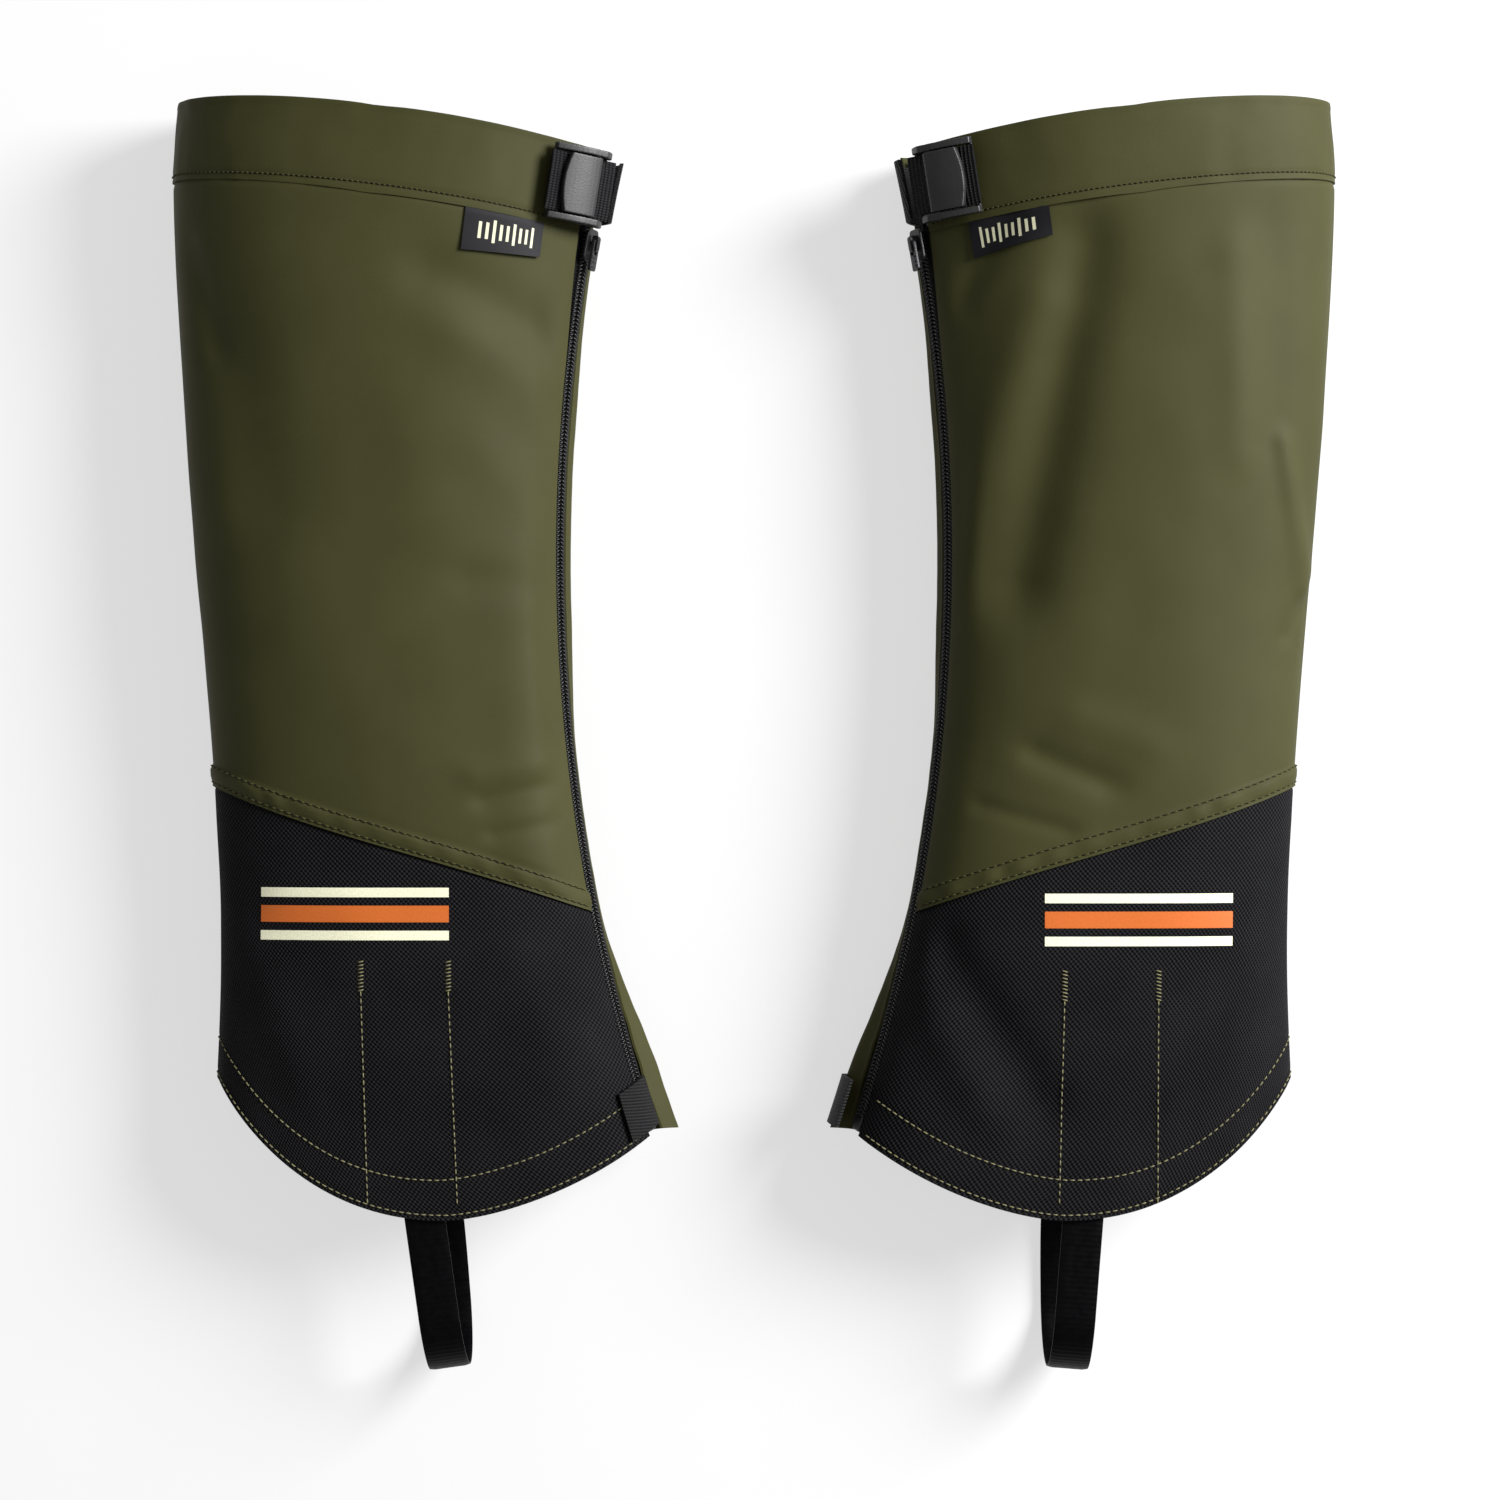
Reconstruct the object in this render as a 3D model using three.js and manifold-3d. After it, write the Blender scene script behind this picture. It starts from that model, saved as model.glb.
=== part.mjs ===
// A pair of knee-high gaiters, lying side by side on a surface with their outer faces up.
//
// Frame, in millimetres: X runs across the pair, Y up the leg from hem to cuff, Z off the surface. The origin
// is on the surface, under the middle of the pair. The gaiter for the right leg lies at -X, and the one for
// the left leg is its mirror image at +X. Their zips, which run up the shins, face each other.
//
// Every cloth piece is a sheet that follows one skin. A place on the skin is a station q and a height y:
//   q 0 to 1   over the top, from the front edge (q 0) to the back seam (q 1)
//   q 1 to 2   under the leg, from the back seam to the front edge again
// A depth below 0 is inside the skin, and one above 0 is outside it.
import * as THREE from "three";
import { mergeVertices } from "three/addons/utils/BufferGeometryUtils.js";
import Module from "manifold-3d";

// ---- Clearances and cloth
const GAP = 0.4; // between pieces that are sewn or laid together
const CLOTH = 1.0; // thickness of a shell panel
const THIN_CLOTH = 0.7; // linings, facings and seam tape

// ---- The leg tube
const EDGE_HEIGHT = 26; // height of the tube's widest line
const CROWN_CUFF = 70; // height of the tube's top at the cuff
const CROWN_HEM = 52; // and at the hem
const FRONT_CROWN = 60; // height that the front shoulder is shaped to, the same all the way up
const WIDTH_POWER = 2.4; // how square the section is across
const TOP_POWER = 2.2; // how square it is over the top
const FLAT_SHARE = 0.62; // share of the half width that lies flat on the surface
// The line of the back seam, as [y, x].
const BACK_LINE = [[275, -243.5], [228, -246.5], [130, -241], [-27, -228.6], [-92, -226.3], [-202, -231]];

// Heights of the edges and seams. c is the place across the tube: -1 at the back seam, 1 at the front edge.
const cuffTop = (c) => 262.6 - 10.6 * c - 5.1 * c * c;
const cuffSeam = (c) => 226.8 - 11.3 * c - 3.4 * c * c;
const bootSeam = (c) => -47.6 - 23.8 * c - 3.4 * c ** 3;
const HEM_LOW = -202.7;
const hem = (c) => HEM_LOW + (c < 0 ? 58.6 * Math.abs(c) ** 2.2 : 36.5 * c ** 1.55);

// ---- The zip, which follows one arc
const ZIP_RADIUS = 766;
const ZIP_CENTRE_X = 684;
const ZIP_CENTRE_Y = 76;
const ZIP_THETA = 12; // degrees round the section
const ZIP_TILT = 68; // degrees between the zip's face and the surface
const WEBBING = 25; // width of the cuff strap
const ZIP_TOP = 227.5 - WEBBING / 2; // clear of the strap
const ZIP_BOTTOM = -160;
const ZIP_STEPS = 24;
const COIL_GAP = 1.6; // between the two rows, where the slider's bridge passes
const COIL_WIDTH = 2.4;
const COIL_HIGH = 0.6;
const TAPE_WIDTH = 8.5;
const TAPE_THICKNESS = 0.6;
const SLIDER_LENGTH = 14;
const SLIDER_WIDTH = 10.4;
const SLIDER_Y = 208;
const WING = 1.1; // thickness of the slider's upper and lower wings
const BRIDGE_WIDTH = 0.9;
const BAIL_WIDTH = 2.6;
const BAIL_HEIGHT = 3.2;
const PULL_PIN_RADIUS = 0.6;
const PULL_CLEARANCE = 0.35;
const PULL_LENGTH = 12;
const PULL_WIDTH = 5.6;
const PULL_THICKNESS = 1.4;

// ---- Front edges, as stations
const OUTER_FRONT = 0.098; // where the outer panels end beside the zip
const OUTER_FRONT_OPEN = 0.03; // how far that edge draws back from the zip at the cuff
const HOOK_LOW = 0.01;
const HOOK_HIGH = 0.036;
const PLACKET_LOW = 1.94;
const PLACKET_HIGH = 2.004;
const PLACKET_FLARE = 2.9; // how far the placket stands out
const PLACKET_FLARE_CUFF = 1.3; // and at the cuff
const PLACKET_FLARE_ANKLE = 0.7; // and at the ankle
const PLACKET_FLARE_HEM = 9.2; // and at the hem
const PLACKET_CREST = 0.55; // the share of its width at which it stands out furthest
const PLACKET_TUCK = 0.8; // how much of that it loses again under the zip
const SEAM_HALF = 0.0025; // half the gap at the back seam

// ---- The cuff strap and its buckle
const WEBBING_THICKNESS = 1.6;
const LINING_DEPTH = -5.2;
const STRAP_DEPTH = -3.1;
const CUFF_END = 1.955; // where the cuff band stops on the inner side
const STRAP_LEAVES = 1.975; // where the strap starts to rise from the skin
const BUCKLE_Q = { right: 0.178, left: 0.225 }; // the two straps are drawn in by different amounts
const BUCKLE_YAW = -8; // degrees
const BUCKLE_LENGTH = 28;
const BUCKLE_SIDE_GAP = 0.6; // webbing to rail
const RAIL = 2.8;
const RAIL_HEIGHT = 7.6;
const BUCKLE_LIFT = 2.6; // frame above the cuff
const BASE_THICKNESS = 1.4;
const LEVER_GAP = 0.6; // lever to rail
const LEVER_THICKNESS = 2.2;
const PIVOT_U = 4.6;
const PIVOT_RADIUS = 1.3;
const PIVOT_CLEARANCE = 0.3;
const HUB_RADIUS = 2.2;
const TAIL_IN = 2; // how far each tail reaches past the buckle's other end, to meet the strap
const STRAP_JOIN = 0.02; // gap between the strap and its tail, as a station
const TAIL_OUT = { right: 2, left: 1 }; // how far each strap's tail shows past the buckle

// ---- The instep strap
const STRAP_WIDTH = 17;
const STRAP_THICKNESS = 1.6;
const STRAP_X = -138;
const STRAP_LOW_Y = -268.4; // the far end of the loop, level with the cuff's top on the other side
const STRAP_SWING = { right: 8, left: 4.5 }; // degrees that the loop lies towards the other gaiter
const STRAP_TUCK = 0.9; // gap between the strap and the cloth it lies against
const SLEEVE_MARGIN = 8.5; // each side of the strap
const SLEEVE_TOP = -100;
const ADJUSTER_LENGTH = 20;
const ADJUSTER_PLAY = 0.9; // strap to rim
const ADJUSTER_RIM = 2.6;
const ADJUSTER_BAR = 2.4;
const ADJUSTER_GAP = 0.7;
const ADJUSTER_Y = -89;

// ---- Small pieces
const LABEL_SPAN = [0.25, 0.4]; // stations
const LABEL_DROP = 14;
const TAB_SPAN = { right: [0.035, 0.178], left: [-0.035, 0.08] }; // tucked in, or wrapped round the edge
const TAB_WIDTH = 20;
const TAB_THICKNESS = 1.4;
const HOOK_Q = 0.25;
const HOOK_DEPTH = 3.2; // panel to the middle of the hook's plate
const HOOK_WIDTH = 8;
const HOOK_THICKNESS = 1.1;
const SEAM_TAPE_HALF = 0.055; // half the seam tape's width, as stations
const SEAM_TAPE_GAP = 0.8; // panel to tape, where the skin turns sharply

const TAPE_HIGH = -CLOTH - 2 * GAP; // the tapes lie under the panels, and the coils on the tapes
const TAPE_LOW = TAPE_HIGH - TAPE_THICKNESS;
const COIL_LOW = TAPE_HIGH + GAP;
const RADIANS = Math.PI / 180;
const wasm = await Module();
wasm.setup();

// ---- Maths

const mix = (a, b, t) => a + (b - a) * t;
const smooth = (t) => {
  const k = Math.min(1, Math.max(0, t));
  return k * k * (3 - 2 * k);
};

// A smooth line through [key, value] points whose keys fall.
function lineThrough(points, key) {
  const last = points.length - 1;
  let i = points.findIndex((p) => key > p[0]) - 1;
  if (i === -1) i = 0;
  if (i < 0) i = last - 1;
  const at = (k) => points[Math.min(last, Math.max(0, k))];
  const [k1, v1] = at(i);
  const [k2, v2] = at(i + 1);
  const slope = (a, b) => (b[1] - a[1]) / (b[0] - a[0] || 1);
  const m1 = i > 0 ? slope(at(i - 1), at(i + 1)) : slope(at(i), at(i + 1));
  const m2 = i + 1 < last ? slope(at(i), at(i + 2)) : slope(at(i), at(i + 1));
  const h = k2 - k1;
  const t = (key - k1) / h;
  return (
    (2 * t ** 3 - 3 * t * t + 1) * v1 +
    (t ** 3 - 2 * t * t + t) * h * m1 +
    (3 * t * t - 2 * t ** 3) * v2 +
    (t ** 3 - t * t) * h * m2
  );
}

// ---- The skin

const zipX = (y) => ZIP_CENTRE_X - Math.sqrt(ZIP_RADIUS ** 2 - (y - ZIP_CENTRE_Y) ** 2);
const topAcross = (theta) => Math.sign(Math.cos(theta)) * Math.abs(Math.cos(theta)) ** (2 / WIDTH_POWER);
const crownShare = (theta) => Math.abs(Math.sin(theta)) ** (2 / TOP_POWER);
const ZIP_ACROSS = topAcross(ZIP_THETA * RADIANS);
const ZIP_Z = EDGE_HEIGHT + (FRONT_CROWN - EDGE_HEIGHT) * crownShare(ZIP_THETA * RADIANS);
const backX = (y) => lineThrough(BACK_LINE, y);
const halfWidth = (y) => (zipX(y) - backX(y)) / (1 + ZIP_ACROSS);
const crown = (y) => mix(CROWN_HEM, CROWN_CUFF, (y - HEM_LOW) / (cuffTop(0) - HEM_LOW));

// Where station q is across the tube (c) and how high it is.
function station(q, y) {
  const turn = ((q % 2) + 2) % 2;
  if (turn <= 1) {
    const theta = turn * Math.PI;
    const shoulder = smooth((theta / RADIANS - 25) / 65);
    const height = mix(FRONT_CROWN, crown(y), shoulder);
    return [topAcross(theta), EDGE_HEIGHT + (height - EDGE_HEIGHT) * crownShare(theta)];
  }
  const along = (turn - 1) * 4; // 0 to 1 the back corner, 1 to 3 the flat, 3 to 4 the front corner
  if (along > 1 && along < 3) return [FLAT_SHARE * (along - 2), 0];
  const side = along <= 1 ? -1 : 1;
  const phi = (along <= 1 ? along : 4 - along) * (Math.PI / 2);
  return [side * (FLAT_SHARE + (1 - FLAT_SHARE) * Math.cos(phi)), EDGE_HEIGHT * (1 - Math.sin(phi))];
}

const across = (q) => station(q, 0)[0];

// Stations from first to last, closer together where the skin turns sharply at the front and back edges.
function stations(first, last, columns) {
  const samples = 200;
  const totals = [0];
  for (let k = 0; k < samples; k++) {
    const q = mix(first, last, (k + 0.5) / samples);
    const edge = Math.abs(q - Math.round(q));
    totals.push(totals[k] + 1 + 2.5 * Math.exp(-((edge / 0.12) ** 2)));
  }
  return Array.from({ length: columns + 1 }, (_, i) => {
    const wanted = (totals[samples] * i) / columns;
    const k = Math.min(samples - 1, totals.findLastIndex((total) => total <= wanted));
    return mix(first, last, (k + (wanted - totals[k]) / (totals[k + 1] - totals[k])) / samples);
  });
}

// A point of the skin, moved out of it by depth.
function skin(q, y, depth = 0) {
  const a = halfWidth(y);
  const place = (k) => {
    const [c, z] = station(k, y);
    return new THREE.Vector2(backX(y) + a * (1 + c), z);
  };
  const step = 0.003;
  const tangent = place(q + step).sub(place(q - step)).normalize();
  const here = place(q);
  return new THREE.Vector3(here.x + tangent.y * depth, y, here.y - tangent.x * depth);
}

// ---- Solids

// A closed slab with two faces. place(i, j, side) gives a point: i rises with q, j with y, and side is 0 or 1.
function slab(columns, rows, place) {
  const points = [];
  for (const side of [0, 1])
    for (let j = 0; j <= rows; j++)
      for (let i = 0; i <= columns; i++) points.push(...place(i, j, side).toArray());
  const at = (i, j, side) => (side * (rows + 1) + j) * (columns + 1) + i;
  const faces = [];
  const quad = (a, b, c, d) => faces.push(a, b, c, a, c, d);
  for (let i = 0; i < columns; i++) {
    for (let j = 0; j < rows; j++) {
      quad(at(i, j, 1), at(i, j + 1, 1), at(i + 1, j + 1, 1), at(i + 1, j, 1));
      quad(at(i, j, 0), at(i + 1, j, 0), at(i + 1, j + 1, 0), at(i, j + 1, 0));
    }
    quad(at(i, 0, 0), at(i, 0, 1), at(i + 1, 0, 1), at(i + 1, 0, 0));
    quad(at(i + 1, rows, 0), at(i + 1, rows, 1), at(i, rows, 1), at(i, rows, 0));
  }
  for (let j = 0; j < rows; j++) {
    quad(at(0, j + 1, 0), at(0, j + 1, 1), at(0, j, 1), at(0, j, 0));
    quad(at(columns, j, 0), at(columns, j, 1), at(columns, j + 1, 1), at(columns, j + 1, 0));
  }
  const geometry = new THREE.BufferGeometry();
  geometry.setAttribute("position", new THREE.Float32BufferAttribute(points, 3));
  geometry.setIndex(faces);
  geometry.computeVertexNormals();
  return geometry;
}

// A sheet of cloth on the skin, from station first(y) to last and from height low(c) to high(c).
function sheet({ first, last, low, high, columns, rows, inner, outer, flare = () => 0 }) {
  const nominal = stations(first(0), last, columns);
  return slab(columns, rows, (i, j, side) => {
    const c = across(nominal[i]);
    const y = mix(low(c), high(c), j / rows);
    const q = nominal[i] + (first(y) - first(0)) * (1 - i / columns);
    return skin(q, y, (side ? outer : inner) + flare(q, y));
  });
}

function solidOf(geometry) {
  const bare = geometry.index ? geometry.toNonIndexed() : geometry.clone();
  bare.deleteAttribute("normal");
  bare.deleteAttribute("uv");
  const merged = mergeVertices(bare, 1e-4);
  return new wasm.Manifold(
    new wasm.Mesh({
      numProp: 3,
      vertProperties: new Float32Array(merged.attributes.position.array),
      triVerts: new Uint32Array(merged.index.array),
    }),
  );
}

function geometryOf(solid) {
  const mesh = solid.getMesh();
  const geometry = new THREE.BufferGeometry();
  geometry.setAttribute("position", new THREE.BufferAttribute(mesh.vertProperties.slice(), 3));
  geometry.setIndex([...mesh.triVerts]);
  geometry.computeVertexNormals();
  return geometry;
}

function joined(...geometries) {
  return geometryOf(geometries.map(solidOf).reduce((all, one) => all.add(one)));
}

function cut(geometry, ...tools) {
  return geometryOf(tools.map(solidOf).reduce((left, tool) => left.subtract(tool), solidOf(geometry)));
}

function common(a, b) {
  return geometryOf(solidOf(a).intersect(solidOf(b)));
}

// A box from its lowest to its highest corner.
function box(low, high) {
  const size = high.map((v, k) => v - low[k]);
  const middle = high.map((v, k) => (v + low[k]) / 2);
  return new THREE.BoxGeometry(...size).translate(...middle);
}

// A rod along local X (axis 0) or local Y (axis 1).
function rod(radius, length, middle, axis, sides = 16) {
  const geometry = new THREE.CylinderGeometry(radius, radius, length, sides);
  if (axis === 0) geometry.rotateZ(Math.PI / 2);
  return geometry.translate(...middle);
}

// A flat outline in local X and Y, as thick as low to high in local Z.
function plate(shape, low, high, curveSegments = 10) {
  const geometry = new THREE.ExtrudeGeometry(shape, { depth: high - low, bevelEnabled: false, curveSegments });
  return geometry.translate(0, 0, low);
}

function roundedRectangle(x0, y0, x1, y1, radius) {
  const shape = new THREE.Shape();
  shape.moveTo(x0 + radius, y0);
  shape.lineTo(x1 - radius, y0);
  shape.absarc(x1 - radius, y0 + radius, radius, -Math.PI / 2, 0);
  shape.lineTo(x1, y1 - radius);
  shape.absarc(x1 - radius, y1 - radius, radius, 0, Math.PI / 2);
  shape.lineTo(x0 + radius, y1);
  shape.absarc(x0 + radius, y1 - radius, radius, Math.PI / 2, Math.PI);
  shape.lineTo(x0, y0 + radius);
  shape.absarc(x0 + radius, y0 + radius, radius, Math.PI, 1.5 * Math.PI);
  return shape;
}

// A ribbon of even thickness whose middle follows points in the plane, extruded by width about local Z 0.
function ribbon(points, thickness, width) {
  const side = (sign) =>
    points.map((p, i) => {
      const before = points[Math.max(0, i - 1)];
      const after = points[Math.min(points.length - 1, i + 1)];
      const along = after.clone().sub(before).normalize();
      return new THREE.Vector2(p.x - (along.y * sign * thickness) / 2, p.y + (along.x * sign * thickness) / 2);
    });
  const shape = new THREE.Shape([...side(1), ...side(-1).reverse()]);
  const geometry = new THREE.ExtrudeGeometry(shape, { depth: width, bevelEnabled: false, steps: 1 });
  return geometry.translate(0, 0, -width / 2);
}

// Points round an arc in the plane, from angle a to b in degrees.
function arc(x, y, radius, a, b, steps) {
  return Array.from({ length: steps + 1 }, (_, k) => {
    const angle = mix(a, b, k / steps) * RADIANS;
    return new THREE.Vector2(x + radius * Math.cos(angle), y + radius * Math.sin(angle));
  });
}

// ---- Materials

const material = (color, roughness, metalness = 0) =>
  new THREE.MeshStandardMaterial({ color, roughness, metalness });
const SHELL = material(0x4b4a30, 0.75);
const REINFORCEMENT = material(0x17171a, 0.8);
const LINING = material(0x2c2d28, 0.8);
const TAPE = material(0x0e0e11, 0.9);
const COIL = material(0x141416, 0.45);
const WEB = material(0x1b1b1f, 0.85);
const PLASTIC = material(0x232326, 0.45);
const COATED = material(0x0a0a0c, 0.35);
const METAL = material(0x3a3a3d, 0.35, 0.9);

function mesh(name, geometry, look) {
  const made = new THREE.Mesh(geometry, look);
  made.name = name;
  return made;
}

// A group whose local X, Y and Z point along the three given directions.
function frameAt(origin, x, y, z) {
  const group = new THREE.Group();
  group.quaternion.setFromRotationMatrix(new THREE.Matrix4().makeBasis(x, y, z));
  group.position.copy(origin);
  return group;
}

// ---- Shell

// The outer panels' front edge, which draws back from the zip towards the cuff.
const outerFront = (y) => OUTER_FRONT + OUTER_FRONT_OPEN * smooth((y - 153) / 70);
const still = (q) => () => q;
const raised = (edge, by) => (c) => edge(c) + by;

function shell(side) {
  const panel = { inner: -CLOTH, outer: 0 };
  const outside = { ...panel, first: outerFront, last: 1 - SEAM_HALF, columns: 12 };
  const inside = { ...panel, first: still(1 + SEAM_HALF), last: PLACKET_LOW - 0.004, columns: 10 };
  const upper = { low: raised(bootSeam, GAP), high: raised(cuffSeam, -GAP), rows: 10 };
  const lower = { low: hem, high: bootSeam, rows: 6 };
  const tape = {
    first: still(1 - SEAM_TAPE_HALF),
    last: 1 + SEAM_TAPE_HALF,
    low: raised(hem, 8),
    high: raised(cuffSeam, -4),
    columns: 4,
    rows: 10,
    inner: -CLOTH - SEAM_TAPE_GAP - THIN_CLOTH,
    outer: -CLOTH - SEAM_TAPE_GAP,
  };
  return [
    mesh(`${side}_upper_outer_panel`, sheet({ ...outside, ...upper }), SHELL),
    mesh(`${side}_upper_inner_panel`, sheet({ ...inside, ...upper }), SHELL),
    mesh(`${side}_lower_outer_panel`, sheet({ ...outside, ...lower }), REINFORCEMENT),
    mesh(`${side}_lower_inner_panel`, sheet({ ...inside, ...lower }), REINFORCEMENT),
    mesh(`${side}_back_seam_tape`, sheet(tape), LINING),
  ];
}

// The olive strip down the inner side of the zip, and the hook strip sewn beside the zip.
function placket(side) {
  const flare = (q, y) => {
    const upper = mix(PLACKET_FLARE, PLACKET_FLARE_CUFF, smooth((y - 133) / 70));
    const lower = mix(PLACKET_FLARE_ANKLE, PLACKET_FLARE_HEM, smooth((-70 - y) / 80));
    const t = (q - PLACKET_LOW) / (PLACKET_HIGH - PLACKET_LOW);
    const tuck = PLACKET_TUCK * smooth((t - PLACKET_CREST) / (1 - PLACKET_CREST));
    const bulge = smooth(t / PLACKET_CREST) * (1 - tuck);
    return bulge * mix(upper, lower, smooth((50 - y) / 60));
  };
  const strip = {
    first: still(PLACKET_LOW),
    last: PLACKET_HIGH,
    low: hem,
    high: raised(cuffSeam, -GAP),
    columns: 6,
    rows: 14,
    inner: -CLOTH,
    outer: 0,
    flare,
  };
  const hooks = {
    first: still(HOOK_LOW),
    last: HOOK_HIGH,
    low: raised(hem, 2),
    high: raised(cuffSeam, -GAP),
    columns: 2,
    rows: 14,
    inner: -CLOTH,
    outer: 0,
  };
  return [
    mesh(`${side}_front_placket`, sheet(strip), SHELL),
    mesh(`${side}_hook_strip`, sheet(hooks), TAPE),
  ];
}

// ---- Zip

// A point of the zip's own section: s up across it, n out of its face, carried round the arc to angle alpha.
function onZip(s, n, alpha) {
  const tilt = ZIP_TILT * RADIANS;
  const r = ZIP_RADIUS + s * Math.cos(tilt) - n * Math.sin(tilt);
  const z = ZIP_Z + s * Math.sin(tilt) + n * Math.cos(tilt);
  return new THREE.Vector3(ZIP_CENTRE_X - r * Math.cos(alpha), ZIP_CENTRE_Y + r * Math.sin(alpha), z);
}

const zipAngle = (y) => Math.asin((y - ZIP_CENTRE_Y) / ZIP_RADIUS);

// How fast the skin falls away from the zip's face at height y: the drop is this times the distance squared.
function zipBend(y) {
  const tilt = ZIP_TILT * RADIANS;
  const drops = [HOOK_LOW, OUTER_FRONT + OUTER_FRONT_OPEN].map((q) => {
    const p = skin(q, y);
    const r = Math.hypot(p.x - ZIP_CENTRE_X, y - ZIP_CENTRE_Y) - ZIP_RADIUS;
    const s = r * Math.cos(tilt) + (p.z - ZIP_Z) * Math.sin(tilt);
    const n = (p.z - ZIP_Z) * Math.cos(tilt) - r * Math.sin(tilt);
    return -n / (s * s);
  });
  return 1.1 * Math.max(...drops);
}

function zipStrip(s0, s1, low, high, columns) {
  const [bottom, top] = [zipAngle(ZIP_BOTTOM), zipAngle(ZIP_TOP)];
  return slab(columns, ZIP_STEPS, (i, j, side) => {
    const s = mix(s0, s1, i / columns);
    const alpha = mix(bottom, top, j / ZIP_STEPS);
    const bend = zipBend(ZIP_CENTRE_Y + ZIP_RADIUS * Math.sin(alpha)) * s * s;
    return onZip(s, (side ? high : low) - bend, alpha);
  });
}

// A group standing on the zip at height y: local X down across it, Y up along it, Z out of its face.
function zipFrame(y) {
  const alpha = zipAngle(y);
  const tilt = ZIP_TILT * RADIANS;
  const radial = new THREE.Vector3(-Math.cos(alpha), Math.sin(alpha), 0);
  const up = new THREE.Vector3(0, 0, 1);
  const x = radial.clone().multiplyScalar(-Math.cos(tilt)).addScaledVector(up, -Math.sin(tilt));
  const z = radial.clone().multiplyScalar(-Math.sin(tilt)).addScaledVector(up, Math.cos(tilt));
  return frameAt(onZip(0, 0, alpha), x, new THREE.Vector3(Math.sin(alpha), Math.cos(alpha), 0), z);
}

const WING_LOW = COIL_HIGH + GAP; // underside of the slider's upper wing
const BAIL_BASE = WING_LOW + WING;
const PULL_PIN_Z = BAIL_BASE + BAIL_HEIGHT / 2 + 0.1;
const PULL_PIN_Y = 1.5;

function sliderBody() {
  const half = SLIDER_WIDTH / 2;
  const end = SLIDER_LENGTH / 2;
  const outline = roundedRectangle(-half, -end, half, end, 2.4);
  const lowTop = TAPE_LOW - zipBend(ZIP_BOTTOM) * half * half - GAP;
  const upper = plate(outline, WING_LOW, BAIL_BASE);
  const lower = plate(outline, lowTop - WING, lowTop);
  const bridge = box([-BRIDGE_WIDTH / 2, end - 4.5, lowTop - 0.1], [BRIDGE_WIDTH / 2, end - 1, WING_LOW + 0.1]);
  const bail = plate(
    roundedRectangle(PULL_PIN_Y - 4, BAIL_BASE - 0.2, PULL_PIN_Y + 3, BAIL_BASE + BAIL_HEIGHT, 1.4),
    -BAIL_WIDTH / 2,
    BAIL_WIDTH / 2,
    4,
  );
  bail.applyMatrix4(
    new THREE.Matrix4().makeBasis(
      new THREE.Vector3(0, 1, 0),
      new THREE.Vector3(0, 0, 1),
      new THREE.Vector3(1, 0, 0),
    ),
  );
  const hole = rod(PULL_PIN_RADIUS + PULL_CLEARANCE, BAIL_WIDTH + 2, [0, PULL_PIN_Y, PULL_PIN_Z], 0, 12);
  return cut(joined(upper, lower, bridge, bail), hole);
}

// The pull hangs down the zip from a pin through the slider's bail.
function pullTab() {
  const half = PULL_WIDTH / 2;
  const low = PULL_PIN_Z - PULL_THICKNESS / 2;
  const tab = plate(
    roundedRectangle(-half, PULL_PIN_Y - PULL_LENGTH, half, PULL_PIN_Y + 1.2, 1.1),
    low,
    low + PULL_THICKNESS,
    4,
  );
  const inner = BAIL_WIDTH / 2 + PULL_CLEARANCE;
  const fork = box([-inner, PULL_PIN_Y - 5.2, low - 1], [inner, PULL_PIN_Y + 3, low + PULL_THICKNESS + 1]);
  const pin = rod(PULL_PIN_RADIUS, PULL_WIDTH - 1, [0, PULL_PIN_Y, PULL_PIN_Z], 0, 10);
  const grip = [0, 1, 2].map((k) => {
    const y = PULL_PIN_Y - PULL_LENGTH + 2 + 2 * k;
    const top = low + PULL_THICKNESS;
    return box([-half + 1, y - 0.5, top - 0.2], [half - 1, y + 0.5, top + 0.4]);
  });
  return joined(cut(tab, fork), pin, ...grip);
}

function zip(side) {
  const coil = COIL_GAP / 2;
  const half = (direction) => {
    const [a, b] = [direction * coil, direction * (coil + COIL_WIDTH)].sort((p, q) => p - q);
    const [c, d] = [direction * coil, direction * (coil + TAPE_WIDTH)].sort((p, q) => p - q);
    return [zipStrip(a, b, COIL_LOW, COIL_HIGH, 1), zipStrip(c, d, TAPE_LOW, TAPE_HIGH, 3)];
  };
  const [outerCoil, outerTape] = half(1);
  const [innerCoil, innerTape] = half(-1);
  const slider = zipFrame(SLIDER_Y);
  slider.add(mesh(`${side}_zip_slider`, sliderBody(), METAL), mesh(`${side}_zip_pull`, pullTab(), METAL));
  const end = zipFrame(ZIP_BOTTOM);
  const boxHalf = coil + COIL_WIDTH;
  end.add(mesh(`${side}_zip_end_box`, box([-boxHalf, -6.4, -2.4], [boxHalf, -GAP, COIL_HIGH - GAP]), PLASTIC));
  return [
    mesh(`${side}_zip_tape_outer`, outerTape, TAPE),
    mesh(`${side}_zip_tape_inner`, innerTape, TAPE),
    mesh(`${side}_zip_coil_outer`, outerCoil, COIL),
    mesh(`${side}_zip_coil_inner`, innerCoil, COIL),
    slider,
    end,
  ];
}

// ---- Cuff, strap and buckle

const cuffMiddle = (c) => (cuffTop(c) + cuffSeam(c)) / 2;

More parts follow.
